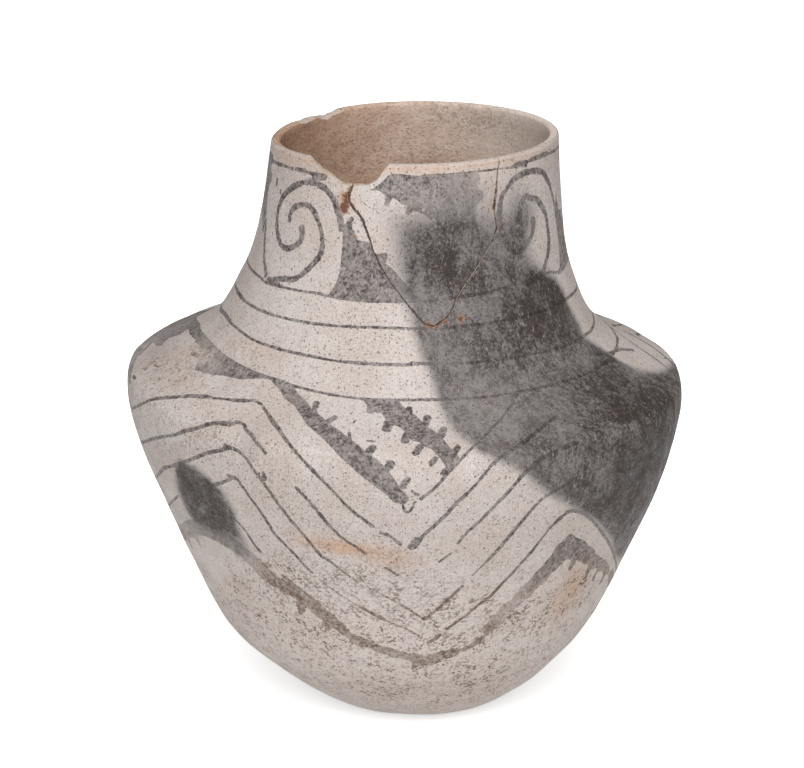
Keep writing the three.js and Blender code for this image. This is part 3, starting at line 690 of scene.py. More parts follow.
def section(row):
    """The ideal form's half section, from the foot's middle up over the lip and down to the floor's middle.

    Gives the radius, the height and the outward direction at each row, on the turned form.
    """
    foot = np.clip(row / FOOT_ROWS, 0, 1)
    up = np.clip((row - FOOT_ROWS) / OUTSIDE_ROWS, 0, 1)
    over = np.clip((row - LIP_START) / LIP_ROWS, 0, 1) * math.pi
    down = np.clip((row - INSIDE_START) / INSIDE_ROWS, 0, 1)
    floor = np.clip((row - FLOOR_START) / FLOOR_ROWS, 0, 1)

    way = np.where(row < LIP_START, up, 1 - down) * WAY_TO_LIP
    outline_height = height_of(way)
    slope = slope_at(outline_height)
    lean = np.hypot(1, slope)
    inward = np.where(row >= INSIDE_START, wall_at(outline_height) / lean, 0)
    radius = radius_at(outline_height) - inward
    height = outline_height + inward * slope
    across = np.where(row >= INSIDE_START, -1, 1) / lean
    upward = np.where(row >= INSIDE_START, slope, -slope) / lean

    on_lip = (row >= LIP_START) & (row <= INSIDE_START)
    radius = np.where(on_lip, LIP_RADIUS - LIP_WALL / 2 * (1 - np.cos(over)), radius)
    height = np.where(on_lip, LIP_EDGE[0] + LIP_CROWN * np.sin(over), height)
    across = np.where(on_lip, np.cos(over), across)
    upward = np.where(on_lip, np.sin(over), upward)

    across = np.where(foot < 1, 0, np.where(floor > 0, 0, across))
    upward = np.where(foot < 1, -1, np.where(floor > 0, 1, upward))
    radius = radius * foot * (1 - floor)
    height = height + (FLOOR_WALL - height) * floor
    return radius, height, across, upward


def way_row(way):
    """The row of the section at a way up the outside."""
    return FOOT_ROWS + way / WAY_TO_LIP * OUTSIDE_ROWS


def along(points, step):
    """A path's points, filled in so that none lie more than a step apart, in millimetres at its height."""
    p = np.array(points, float)
    out = [p[:1]]
    for a, b in zip(p, p[1:]):
        around = (b[0] - a[0]) * degree_at((a[1] + b[1]) / 2)
        count = max(int(math.hypot(around, b[1] - a[1]) / step), 1)
        out.append(a + (b - a) * (np.arange(1, count + 1) / count)[:, None])
    return np.vstack(out)


def wanted_fineness(lines, areas, pits):
    """How often the coarse cell round each of the finest ones should be split, from 0 to 3."""
    wanted = np.zeros((ALL_ROWS * FINEST, TURN_CELLS * FINEST), np.int8)
    wanted[int(way_row(LOWEST_PAINT)) * FINEST : INSIDE_START * FINEST] = 1
    wanted[INSIDE_START * FINEST : (INSIDE_START + FINE_INSIDE_ROWS) * FINEST] = 1

    def mark(points, level):
        rows = np.clip(way_row(points[:, 1]) * FINEST, 0, len(wanted) - 1).astype(int)
        columns = (points[:, 0] / 360 * TURN_CELLS * FINEST).astype(int) % wanted.shape[1]
        np.maximum.at(wanted, (rows, columns), level)

    for _, points in lines:
        mark(along(points, 0.6), 2)
    for points in areas:
        mark(along([*points, points[0]], 0.6), 2)
    marked = wanted
    for row_shift in (-1, 0, 1):
        for column_shift in (-1, 0, 1):
            wanted = np.maximum(wanted, np.roll(marked, (row_shift, column_shift), (0, 1)))
    for points in areas:
        for a, b in zip(points, points[1:]):
            if math.hypot((b[0] - a[0]) * degree_at(a[1]), b[1] - a[1]) < SHORT_EDGE:
                mark(along([a, b], 0.4), 3)
    for angle, way, width, _ in pits:
        reach = np.linspace(-0.75, 0.75, 9) * width
        around, up = np.meshgrid(reach / degree_at(way), reach)
        mark(np.stack([angle + around.ravel(), way + up.ravel()], -1), 3)
    return wanted


def split_cells(wanted):
    """Leaf cells of the sheet as [row, column, size], in the finest cells."""
    size = FINEST
    starts = [np.arange(0, count, size) for count in wanted.shape]
    rows, columns = np.meshgrid(*starts, indexing="ij")
    cells = np.stack([rows.ravel(), columns.ravel()], -1)
    leaves = []
    level = 0
    while len(cells):
        blocks = wanted.reshape(wanted.shape[0] // size, size, wanted.shape[1] // size, size).max((1, 3))
        split = (blocks[cells[:, 0] // size, cells[:, 1] // size] > level) & (size > 1)
        kept = cells[~split]
        leaves.append(np.column_stack([kept, np.full(len(kept), size)]))
        size //= 2
        level += 1
        corners = np.array([(0, 0), (0, size), (size, 0), (size, size)])
        cells = (cells[split][:, None] + corners).reshape(-1, 2)
    return np.vstack(leaves)


def sheet_faces(leaves, row_count, column_count):
    """Vertices as fine [row, column] places and faces over them. A cell with finer neighbours is fanned."""
    corner = np.zeros((row_count + 1, column_count + 1), bool)
    first_row, first_column, sizes = leaves.T
    for row_shift in (0, 1):
        for column_shift in (0, 1):
            corner[first_row + sizes * row_shift, first_column + sizes * column_shift] = True
    seam = corner[:, 0] | corner[:, -1]
    corner[:, 0] = corner[:, -1] = seam

    faces = []
    for row, column, size in leaves.tolist():
        end_row, end_column = row + size, column + size
        left, right = (corner[row : end_row + 1, side].nonzero()[0] + row for side in (column, end_column))
        low, high = (corner[side, column : end_column + 1].nonzero()[0] + column for side in (row, end_row))
        ring = [(row, i) for i in low[:-1].tolist()]
        ring += [(i, end_column) for i in right[:-1].tolist()]
        ring += [(end_row, i) for i in high[:0:-1].tolist()]
        ring += [(i, column) for i in left[:0:-1].tolist()]
        if len(ring) == 4:
            faces.append(ring)
        else:
            middle = (row + size // 2, column + size // 2)
            faces += [[middle, a, b] for a, b in zip(ring, ring[1:] + ring[:1])]
    return faces


def flat_sheet(name, wanted):
    """The jar's whole skin as a mesh that still lies in [angle, radius, height] of the turned form."""
    row_count, column_count = wanted.shape
    index = {}
    faces = []
    for ring in sheet_faces(split_cells(wanted), row_count, column_count):
        corners = []
        for row, column in ring:
            pole = row in (0, row_count)
            key = (row, 0 if pole else column % column_count)
            corner = index.setdefault(key, len(index))
            if corner not in corners:
                corners.append(corner)
        if len(corners) > 2:
            faces.append(corners)
    places = np.array(list(index), float)
    radius, height, across, upward = section(places[:, 0] / FINEST)
    angle = places[:, 1] / column_count * 360
    flat = np.stack([np.radians(angle), radius, height], -1)
    mesh = mesh_from(name, flat, faces)
    store(mesh, "across", across)
    store(mesh, "upward", upward)
    store(mesh, "shift", shift_at(height))
    store(mesh, "rise", rise_at(height))
    store(mesh, "sag", local_sag(angle, height))
    return mesh, angle, places[:, 0] / FINEST


def mesh_from(name, points, faces, materials=()):
    """A mesh of points in any unit."""
    mesh = bpy.data.meshes.new(name)
    mesh.from_pydata(np.asarray(points).tolist(), [], faces)
    for material in materials:
        mesh.materials.append(material)
    return mesh


def store(mesh, name, values):
    """Keeps one number for each vertex."""
    attribute = mesh.attributes.get(name) or mesh.attributes.new(name, "FLOAT", "POINT")
    attribute.data.foreach_set("value", np.asarray(values, np.float32))


def add_object(name, data):
    """A new object of the scene."""
    piece = bpy.data.objects.new(name, data)
    bpy.context.scene.collection.objects.link(piece)
    return piece


def points_of(mesh):
    """A mesh's vertices in millimetres."""
    flat = np.empty(len(mesh.vertices) * 3, np.float32)
    mesh.vertices.foreach_get("co", flat)
    return flat.reshape(-1, 3).astype(float) * METRE


def settled(piece):
    """Turns what a piece's modifiers make into its own mesh, and removes them."""
    evaluated = piece.evaluated_get(bpy.context.evaluated_depsgraph_get())
    mesh = bpy.data.meshes.new_from_object(evaluated)
    piece.modifiers.clear()
    piece.data = mesh
    return mesh


def combined(piece, cutter, operation):
    """Cuts a piece with another, or keeps what they share."""
    modifier = piece.modifiers.new(operation.title(), "BOOLEAN")
    modifier.operation = operation
    modifier.solver = "MANIFOLD"
    modifier.object = cutter
    settled(piece)
    bpy.data.objects.remove(cutter)


# The kinds of node that are used most, each with its settings
ADD = ("ShaderNodeMath", {"operation": "ADD"})
SUBTRACT = ("ShaderNodeMath", {"operation": "SUBTRACT"})
MULTIPLY = ("ShaderNodeMath", {"operation": "MULTIPLY"})
MULTIPLY_ADD = ("ShaderNodeMath", {"operation": "MULTIPLY_ADD"})
LARGER = ("ShaderNodeMath", {"operation": "MAXIMUM"})
CLAMP = ("ShaderNodeClamp", {})
RAMP = ("ShaderNodeMapRange", {"interpolation_type": "SMOOTHSTEP"})
MIX = ("ShaderNodeMix", {"data_type": "RGBA"})
TINT = ("ShaderNodeMix", {"data_type": "RGBA", "blend_type": "MULTIPLY"})
NOISE = ("ShaderNodeTexNoise", {"noise_dimensions": "4D"})
SCALE = ("ShaderNodeVectorMath", {"operation": "SCALE"})
STRETCH = ("ShaderNodeMapping", {})


def node(tree, kind, settings, links=()):
    """Adds a node. Its links go by name or number in a dictionary, or one after another in a tuple.

    A link's value is a constant, a socket, or a node whose first live output is meant.
    """
    made = tree.nodes.new(kind)
    for name, value in settings.items():
        setattr(made, name, value)
    for key, value in links.items() if isinstance(links, dict) else enumerate(links):
        if isinstance(value, bpy.types.Node):
            value = next(output for output in value.outputs if output.enabled)
        if isinstance(value, bpy.types.NodeSocket):
            tree.links.new(value, made.inputs[key])
        else:
            made.inputs[key].default_value = value
    return made


def new_tree(name, inputs):
    """An empty Geometry Nodes tree with named inputs, and its input node."""
    tree = bpy.data.node_groups.new(name, "GeometryNodeTree")
    tree.interface.new_socket("Geometry", in_out="OUTPUT", socket_type="NodeSocketGeometry")
    tree.interface.new_socket("Geometry", in_out="INPUT", socket_type="NodeSocketGeometry")
    for label, kind, default in inputs:
        socket = tree.interface.new_socket(label, in_out="INPUT", socket_type=kind)
        if default is not None:
            socket.default_value = default
    return tree, tree.nodes.new("NodeGroupInput")


def end_tree(tree, geometry, material):
    """The last nodes of a tree: one real mesh with a material."""
    real = node(tree, "GeometryNodeRealizeInstances", {}, (geometry,))
    coated = node(tree, "GeometryNodeSetMaterial", {}, {"Geometry": real, "Material": material})
    node(tree, "NodeGroupOutput", {}, (coated,))


def run_tree(piece, tree, values):
    """Gives a piece a tree with values for its named inputs, and settles it."""
    modifier = piece.modifiers.new(tree.name, "NODES")
    modifier.node_group = tree
    for item in tree.interface.items_tree:
        if item.in_out == "INPUT" and item.name in values:
            modifier[item.identifier] = values[item.name]
    mesh = settled(piece)
    bpy.data.node_groups.remove(tree)
    return mesh


def hand_built_tree(material):
    """A tree that wraps the flat sheet to the hand-built form, dented where the fingers pressed it.

    Each point goes into the wall by its pit and by an even noise, and is then turned to its angle.
    """
    sizes = [("Dent Depth", "NodeSocketFloat", 0.8), ("Dent Size", "NodeSocketFloat", 34.0)]
    tree, given = new_tree("Hand-Built Form", [*sizes, ("Seed", "NodeSocketFloat", 3.0)])
    stored = {}
    for name in ("across", "upward", "shift", "rise", "sag", "pit", "scraped"):
        stored[name] = node(tree, "GeometryNodeInputNamedAttribute", {"data_type": "FLOAT"}, {"Name": name})
    place = node(tree, "ShaderNodeSeparateXYZ", {}, (node(tree, "GeometryNodeInputPosition", {}),))
    angle, radius, height = place.outputs
    sine = node(tree, "ShaderNodeMath", {"operation": "SINE"}, (angle,))
    cosine = node(tree, "ShaderNodeMath", {"operation": "COSINE"}, (angle,))

    def turned(away):
        forward = node(tree, *MULTIPLY, (away, cosine))
        return node(tree, *MULTIPLY, (away, sine)), node(tree, *MULTIPLY, (forward, -1.0))

    ideal = node(tree, "ShaderNodeCombineXYZ", {}, (*turned(radius), height))
    scale = node(tree, "ShaderNodeMath", {"operation": "DIVIDE"}, (1.0, given.outputs["Dent Size"]))
    pattern = {"Vector": ideal, "W": given.outputs["Seed"], "Scale": scale}
    pattern |= {"Detail": 3.0, "Roughness": 0.42}
    dents = node(tree, "ShaderNodeMapRange", {}, (node(tree, *NOISE, pattern), 0.4, 0.85))
    deep = node(tree, *MULTIPLY, (dents, given.outputs["Dent Depth"]))
    inward = node(tree, *ADD, (node(tree, *MULTIPLY, (deep, stored["scraped"])), stored["pit"]))
    radius = node(tree, *SUBTRACT, (radius, node(tree, *MULTIPLY, (inward, stored["across"]))))
    height = node(tree, *SUBTRACT, (height, node(tree, *MULTIPLY, (inward, stored["upward"]))))

    x, y = turned(radius)
    lifted = node(tree, *MULTIPLY, (stored["rise"], sine))
    z = node(tree, *SUBTRACT, (height, node(tree, *ADD, (lifted, stored["sag"]))))
    built = node(tree, "ShaderNodeCombineXYZ", {}, (node(tree, *ADD, (x, stored["shift"])), y, z))
    metres = node(tree, *SCALE, {0: built, "Scale": 1 / METRE})
    moves = {"Geometry": given.outputs["Geometry"], "Position": metres}
    end_tree(tree, node(tree, "GeometryNodeSetPosition", {}, moves), material)
    return tree


def rough(points, size, seed):
    """An even noise, from -1 to 1, at points in millimetres."""
    offset = Vector((seed * 17.3, seed * 5.1, seed * 9.7))
    return np.array([noise.noise(Vector(point) / size + offset) for point in points.tolist()])


def wall_point(angle, height, depth):
    """Points straight in from the outside by a depth, in millimetres."""
    return hand_built(angle, radius_at(np.clip(height, 0, LIP_EDGE[0])) - depth, height)


def lofted(name, rings, outline, materials):
    """A closed solid through rings of points, from the innermost out, with its outline as flat [x, y]."""
    count = len(outline)
    points = np.vstack(rings)
    flat = [Vector((x, y, 0)) for x, y in outline]
    area = sum(a.x * b.y - b.x * a.y for a, b in zip(flat, flat[1:] + flat[:1]))
    caps = tessellate_polygon([flat])
    faces = []
    for k in range(len(rings) - 1):
        for i in range(count):
            j = (i + 1) % count
            a, b, c, d = k * count + i, k * count + j, (k + 1) * count + j, (k + 1) * count + i
            faces.append([a, b, c, d] if area > 0 else [d, c, b, a])
    top = (len(rings) - 1) * count
    for a, b, c in caps:
        turn = (flat[b] - flat[a]).cross(flat[c] - flat[a]).z > 0
        a, b, c = (a, b, c) if turn else (c, b, a)
        faces.append([top + a, top + b, top + c])
        faces.append([c, b, a])
    mesh = mesh_from(name, points / METRE, faces, materials)
    mesh.polygons.foreach_set("material_index", np.ones(len(mesh.polygons), np.int32))
    return add_object(name, mesh)


# How far under the surface each ring of a cutter lies, in millimetres
CUT_DEPTHS = [16, 6.2, 5.4, 4.6, 3.4, 2.2, 1.2, 0.55, 0.1, -0.3, -30]


def chip_cutter(name, outline, materials):
    """The clay that a chip took from the lip, with a grainy floor and edges worn round."""
    knots = np.array(outline, float)
    angle = np.linspace(knots[0, 0], knots[-1, 0], int((knots[-1, 0] - knots[0, 0]) / 0.8) + 1)
    depth = np.interp(angle, knots[:, 0], knots[:, 1])
    ends = np.clip(np.minimum(angle - angle[0], angle[-1] - angle) / 3, 0, 1)
    ring_angle = np.concatenate([angle[:1], angle, angle[-1:]])
    rings = []
    for under in CUT_DEPTHS:
        worn = 1.1 * math.exp(-max(under, 0) / 0.6) + 0.5 * math.exp(-max(5.2 - under, 0) / 0.8)
        level = LIP_HEIGHT - depth - worn * ends + 0.25 * (LIP_WALL - under) * ends
        surface = wall_point(angle, level, under)
        bumps = rough(surface, 4.5, 1) * 0.9 + rough(surface, 1.7, 2) * 0.35
        level = level + bumps * ends
        height = np.concatenate([[OVER_LIP], level, [OVER_LIP]])
        rings.append(wall_point(ring_angle, height, np.full_like(ring_angle, under)))
    edge_height = np.concatenate([[OVER_LIP], LIP_HEIGHT - depth, [OVER_LIP]])
    return lofted(name, rings, np.stack([ring_angle, edge_height], -1).tolist(), materials)


def crack_path(points):
    """A crack as points in millimetres round and up, from over the lip to the sherd's point."""
    knots = [(points[0][0] * NECK_DEGREE, OVER_LIP)]
    for angle, share in [*points, SHERD_POINT]:
        knots.append((angle * NECK_DEGREE, LIP_HEIGHT - share * SHERD_LENGTH))
    path = [np.array(knots[0])]
    for knot in np.array(knots[1:]):
        start = path[-1]
        count = max(int(np.linalg.norm(knot - start) / 1.3), 1)
        path += [start + (knot - start) * i / count for i in range(1, count + 1)]
    path = np.array(path)
    along_path = np.gradient(path, axis=0)
    along_path /= np.linalg.norm(along_path, axis=1)[:, None]
    sideways = np.stack([-along_path[:, 1], along_path[:, 0]], -1)
    wobble = rough(np.column_stack([path, np.zeros(len(path))]), 3.2, 4) * 0.3
    wobble[-4:] = 0
    return path + sideways * wobble[:, None], sideways


def spall_at(path):
    """How much a place of the left crack belongs to the spot that is flaked wide."""
    middle = LIP_HEIGHT - 0.18 * SHERD_LENGTH
    return np.exp(-(((path[:, 1] - middle) / 2.6) ** 2))


def sherd_cutter(name, side, gap, materials):
    """The sherd's own space for a side of 1, or its hole for a side of -1, with crumbled crack edges."""
    left, left_side = crack_path(LEFT_CRACK)
    right, right_side = crack_path(RIGHT_CRACK)
    tip = left[-1]
    up_left = (left[-2] - tip) / np.linalg.norm(left[-2] - tip)
    up_right = (right[-2] - tip) / np.linalg.norm(right[-2] - tip)
    up_middle = (up_left + up_right) / np.linalg.norm(up_left + up_right)
    spread = abs(up_middle[0] * up_left[1] - up_middle[1] * up_left[0])
    rings = []
    for under in CUT_DEPTHS:
        edge = max(math.exp(-max(under, 0) / 0.45), math.exp(-max(5.5 - under, 0) / 0.4))
        corners = []
        for path, sideways, way in ((left, left_side, 1), (right, right_side, -1)):
            crumbs = rough(np.column_stack([path, np.full(len(path), side * 5.0)]), 2.4, 6)
            half = gap / 2 + (0.12 + 0.26 * np.clip(crumbs, 0, 1)) * edge
            if way > 0:
                half = half + spall_at(path) * 0.75 * math.exp(-max(under, 0) / 1.3)
            corners.append((path + sideways * (side * way * half)[:, None])[:-1])
        reach = side * (gap / 2 + 0.25 * edge) / spread
        flat = np.vstack([corners[0], (tip + up_middle * reach)[None], corners[1][::-1]])
        rings.append(wall_point(flat[:, 0] / NECK_DEGREE, flat[:, 1], np.full(len(flat), under)))
    return lofted(name, rings, flat.tolist(), materials)


def wrapped_sheet(name, settings, materials, fine):
    """The whole skin on the hand-built form, before anything broke."""
    lines, areas = painted_design()
    random = np.random.default_rng(11)
    pits = list(PITS)
    for _ in range(settings.pit_count):
        way = LOWEST_PIT + (HIGHEST_PIT - LOWEST_PIT) * random.random() ** 1.5
        width = 0.9 + 1.5 * random.random() ** 2
        pits.append((random.uniform(-180, 180), way, width, 0.3 * width))
    wanted = wanted_fineness(lines, areas, pits)
    if not fine:
        wanted[:] = np.minimum(wanted, 1)
    mesh, angle, row = flat_sheet(name, wanted)

    angle = turn_from(angle, 0)
    outer = row < LIP_START
    way = np.where(outer, (row - FOOT_ROWS) / OUTSIDE_ROWS * WAY_TO_LIP, -100)
    depth = np.zeros(len(row))
    for pit_angle, pit_way, width, deep in pits:
        near = np.flatnonzero(np.abs(way - pit_way) < width)
        across = turn_from(angle[near], pit_angle) * degree_at(pit_way)
        away = np.hypot(across, way[near] - pit_way) / (width / 2)
        depth[near] = np.maximum(depth[near], deep * np.clip(1.15 - away**2, 0, 1))
    store(mesh, "pit", depth)
    eased = np.clip((row - FOOT_ROWS * 0.4) / 4, 0, 1)
    eased = np.minimum(eased, 0.1 + 0.9 * soft(np.abs(row - LIP_START - LIP_ROWS / 2), 3, 8))
    store(mesh, "scraped", np.where(row > FLOOR_START, 1, eased))
    piece = add_object(name, mesh)
    values = {"Dent Depth": settings.dent_depth * METRE, "Dent Size": settings.dent_size * METRE}
    mesh = run_tree(piece, hand_built_tree(materials[0]), values)
    mesh.materials.clear()
    for material in materials:
        mesh.materials.append(material)
    return piece


def near_path(angle, way, path, middle, margin):
    """The places near a path, in batches: their numbers, and for each of them and each stretch of the path,
    in millimetres, the way from the stretch's start to the place and to the stretch's end.

    The margin is how far round, in degrees, and up, in millimetres, a place may lie from the path.
    """
    around = turn_from(angle, middle) + middle
    inside = np.ones(len(angle), bool)
    for place, line, room in zip((around, way), path.T, margin):
        inside &= (place > line.min() - room) & (place < line.max() + room)
    chosen = np.flatnonzero(inside)
    for part in np.array_split(chosen, max(len(chosen) // 4000, 1)):
        if len(part):
            degree = degree_at(way[part])[:, None]
            x, y = around[part][:, None] * degree, way[part][:, None]
            start_x, start_y = path[None, :-1, 0] * degree, path[None, :-1, 1]
            end_x, end_y = path[None, 1:, 0] * degree, path[None, 1:, 1]
            yield part, x - start_x, y - start_y, end_x - start_x, end_y - start_y


def distance(x, y, end_x, end_y):
    """How far places lie from stretches, all from the stretches' starts, and how long the stretches are."""
    length = np.hypot(end_x, end_y) + 1e-9
    share = np.clip((x * end_x + y * end_y) / length**2, 0, 1)
    return np.hypot(x - share * end_x, y - share * end_y), length


def nearest_strokes(angle, way, lines):
    """For each place, its signed share of the nearest brush line's half width, and that line's distance."""
    share = np.full(len(angle), FAR_OFF)
    reach = np.full(len(angle), FAR_OFF)
    for width, points in lines:
        path = spline(points)
        middle = (path[:, 0].min() + path[:, 0].max()) / 2
        for part, x, y, end_x, end_y in near_path(angle, way, path, middle, (5, 6)):
            away, length = distance(x, y, end_x, end_y)
            pick = (np.arange(len(part)), away.argmin(1))
            signed = ((end_x * y - end_y * x) / length)[pick] / (width / 2)
            beyond = away[pick] - width / 2
            better = beyond < reach[part]
            reach[part[better]] = beyond[better]
            share[part[better]] = signed[better]
    return np.clip(share, -FAR_OFF, FAR_OFF), np.clip(reach, -3, FAR_OFF)


def signed_area(angle, way, areas, limit):
    """How far inside the nearest area each place lies, in millimetres. It is negative outside."""
    value = np.full(len(angle), -limit)
    for points in areas:
        middle_angle, middle_way = np.mean(points, 0)
        ring = np.array([*points, points[0]], float)
        margin = (limit / degree_at(middle_way), limit)
        for part, x, y, end_x, end_y in near_path(angle, way, ring, middle_angle, margin):
            away = distance(x, y, end_x, end_y)[0].min(1)
            crossed = ((y < 0) != (end_y > y)) & (x < end_x * y / (end_y + 1e-12))
            within = crossed.sum(1) % 2 == 1
            value[part] = np.maximum(value[part], np.where(within, away, -away))
    return np.clip(value, -limit, limit)


def blobs_at(angle, way, blobs):
    """The sum of soft blobs at each place."""
    total = np.zeros(len(angle))
    for middle, blob_way, wide, tall, share in blobs:
        around = turn_from(angle, middle) / wide
        total += share * np.exp(-(around**2) - ((way - blob_way) / tall) ** 2)
    return total


def soft(value, low, high):
    """0 below low, 1 above high, and smooth between."""
    t = np.clip((value - low) / (high - low), 0, 1)
    return t * t * (3 - 2 * t)


def paint_marks(mesh):
    """Stores what the materials read: where each vertex lies to the brush lines, areas and stains."""
    points = points_of(mesh)
    angle, radius, height = turned_back(points)
    inner_height = np.clip(height, 0, LIP_EDGE[0])
    under = (radius_at(inner_height) - radius) / np.hypot(1, slope_at(inner_height))
    outside = (under < wall_at(inner_height) * 0.5) | (height < 3)
    way = way_of(inner_height)
    over = np.clip((height - LIP_EDGE[0]) / LIP_CROWN, 0, 1) * 3
    way = way + np.where(under < LIP_WALL, over, 0)
    lines, areas = painted_design()
    shown = np.where(outside, way, NOWHERE)
    share, reach = nearest_strokes(angle, shown, lines)
    spread = 3.0 + 4.0 * soft(way, 275, 310)
    cloud = soft(signed_area(angle, shown, [GREAT_CLOUD], 16.0), -spread, spread)
    cloud = cloud * (0.93 + blobs_at(angle, way, CLOUD_BLOBS)) * (1 - 0.35 * soft(way, 322, 350))
    small = soft(signed_area(angle, shown, [SMALL_CLOUD], 12.0), -3.2, 4)
    small = small * (1.2 + blobs_at(angle, way, SMALL_CLOUD_BLOBS))
    smoke = np.maximum(cloud, small) + blobs_at(angle, way, SMUDGES)
    low_soil = soft(-way, -185, -70) * 0.18
    cream = 3.2 * soft(-np.abs(angle), -85, -50)
    inside = np.where(height > NECK_MIDDLE, soft(under, 0.3 + cream, 1.4 + cream), ~outside)
    marks = {
        "brush_line": share,
        "brush_reach": reach,
        "painted_area": np.where(outside, signed_area(angle, shown, areas, 5.0), -5),
        "smoke": np.clip(smoke, 0, DARKEST_SMOKE) * outside,
        "rust": np.clip(blobs_at(angle, way, ORANGE_STAINS), 0, 1) * outside,
        "soil": np.clip(blobs_at(angle, way, BROWN_STAINS) + low_soil, 0, 1) * outside,
        "inside": np.where(height < 3, 0, inside),
        "way_up": np.where(outside, way, 0),
        "gritty": np.clip(blobs_at(angle, way, GRITTY), 0, 1) * outside,
        "rubbed": np.clip(blobs_at(angle, way, RUBBED), 0, 1),
        "glue": np.clip(blobs_at(angle, way, GLUE_STAINS), 0, 1) * outside,
        "khaki": np.clip(blobs_at(angle, height, INNER_STAINS), 0, 1) * ~outside,
    }
    shown_crack = np.zeros(len(angle))
    for crack, widths in ((LEFT_CRACK, LEFT_CRACK_WIDTHS), (RIGHT_CRACK, RIGHT_CRACK_WIDTHS)):
        path, _ = crack_path(crack)
        stroke = (0.1, np.column_stack([path[:, 0] / NECK_DEGREE, way_of(path[:, 1])]))
        _, reach = nearest_strokes(angle, shown, [stroke])
        width = np.interp((LIP_HEIGHT - height) / SHERD_LENGTH, *np.transpose(widths))
        shown_crack = np.maximum(shown_crack, np.clip(1 - reach / (1.4 * width), 0, 1))
    marks["crack"] = shown_crack * outside
    for name, values in marks.items():
        store(mesh, name, values)


def glue_tree(material):
    """A tree that lays old glue along a crack: a film down into it and an uneven bead at the surface."""
    sizes = [("Film", 0.0003), ("Film Depth", 0.004), ("Bead", 0.0004)]
    tree, given = new_tree("Glue Seam", [(label, "NodeSocketFloat", size) for label, size in sizes])
    stored = "GeometryNodeInputNamedAttribute"
    outward = node(tree, stored, {"data_type": "FLOAT_VECTOR"}, {"Name": "outward"})
    thick = node(tree, stored, {"data_type": "FLOAT"}, {"Name": "thick"})
    path = node(tree, "GeometryNodeMeshToCurve", {}, {"Mesh": given.outputs["Geometry"]})
    held = node(tree, "GeometryNodeSetCurveNormal", {"mode": "FREE"}, {"Curve": path, "Normal": outward})
    size = {"Width": given.outputs["Film"], "Height": given.outputs["Film Depth"]}
    profile = node(tree, "GeometryNodeCurvePrimitiveQuadrilateral", {}, size)
    film_shape = {"Curve": held, "Profile Curve": profile, "Fill Caps": True}
    film = node(tree, "GeometryNodeCurveToMesh", {}, film_shape)
    up = node(tree, *SCALE, {0: outward, "Scale": BEAD_LIFT / METRE})
    raised = node(tree, "GeometryNodeSetPosition", {}, {"Geometry": held, "Offset": up})
    swell = node(tree, "GeometryNodeSetCurveRadius", {}, {"Curve": raised, "Radius": thick})
    size = {"Resolution": 8, "Radius": given.outputs["Bead"]}
    ring = node(tree, "GeometryNodeCurvePrimitiveCircle", {}, size)
    radius = node(tree, "GeometryNodeInputRadius", {})
    bead_shape = {"Curve": swell, "Profile Curve": ring, "Scale": radius, "Fill Caps": True}
    bead = node(tree, "GeometryNodeCurveToMesh", {}, bead_shape)
    both = node(tree, "GeometryNodeJoinGeometry", {})
    for part in (film, bead):
        tree.links.new(part.outputs[0], both.inputs[0])
    end_tree(tree, both, material)
    return tree


def glue_seam(name, points, stop_short, material, settings):
    """Old glue in one crack of the neck."""
    path, _ = crack_path(points)
    around = path[:, 0] / NECK_DEGREE
    chipped = np.interp(around, *np.array(sorted(FRONT_CHIP)).T)
    chipped = np.maximum(np.where(around < CHIP_END, chipped, 0), 0)
    path = path[path[:, 1] < LIP_HEIGHT - chipped - GLUE_UNDER_LIP]
    keep = np.linalg.norm(path - path[-1], axis=1) >= stop_short
    path = path[keep]
    angle = path[:, 0] / NECK_DEGREE
    middle = wall_point(angle, path[:, 1], FILM_MIDDLE)
    outward = wall_point(angle, path[:, 1], 0) - middle
    outward /= np.linalg.norm(outward, axis=1)[:, None]
    mesh = bpy.data.meshes.new(name)
    mesh.from_pydata((middle / METRE).tolist(), [(i, i + 1) for i in range(len(path) - 1)], [])
    attribute = mesh.attributes.new("outward", "FLOAT_VECTOR", "POINT")
    attribute.data.foreach_set("vector", outward.astype(np.float32).ravel())
    widths = LEFT_CRACK_WIDTHS if points is LEFT_CRACK else RIGHT_CRACK_WIDTHS
    uneven = np.interp((LIP_HEIGHT - path[:, 1]) / SHERD_LENGTH, *np.transpose(widths))
    uneven = uneven * (1 + np.clip(rough(middle, 1.7, 8) * 3, -0.6, 1.6) * np.clip(uneven, 0, 1))
    if points is LEFT_CRACK:
        uneven = uneven + spall_at(path) * 3.2
    store(mesh, "thick", np.maximum(uneven, 0.4))
    piece = add_object(name, mesh)
    film = settings.crack_gap * FILM_SHARE
    values = {"Film": film, "Film Depth": FILM_DEPTH / METRE, "Bead": settings.glue_bead}
    run_tree(piece, glue_tree(material), values)
    return piece


def linear(color):
    """A #rrggbb colour as linear numbers with alpha."""
    parts = [int(color[i : i + 2], 16) / 255 for i in (1, 3, 5)]
    return [c / 12.92 if c <= 0.04045 else ((c + 0.055) / 1.055) ** 2.4 for c in parts] + [1.0]


# How much fired clay bends light, and old glue too
CLAY_IOR = 1.45


def new_material(name, color):
    """A material, its empty tree and the place in millimetres."""
    material = bpy.data.materials.new(name)
    material.use_nodes = True
    material.diffuse_color = color
    tree = material.node_tree
    tree.nodes.clear()
    place = node(tree, "ShaderNodeTexCoord", {})
    return material, tree, node(tree, *SCALE, {0: place.outputs["Object"], "Scale": METRE})


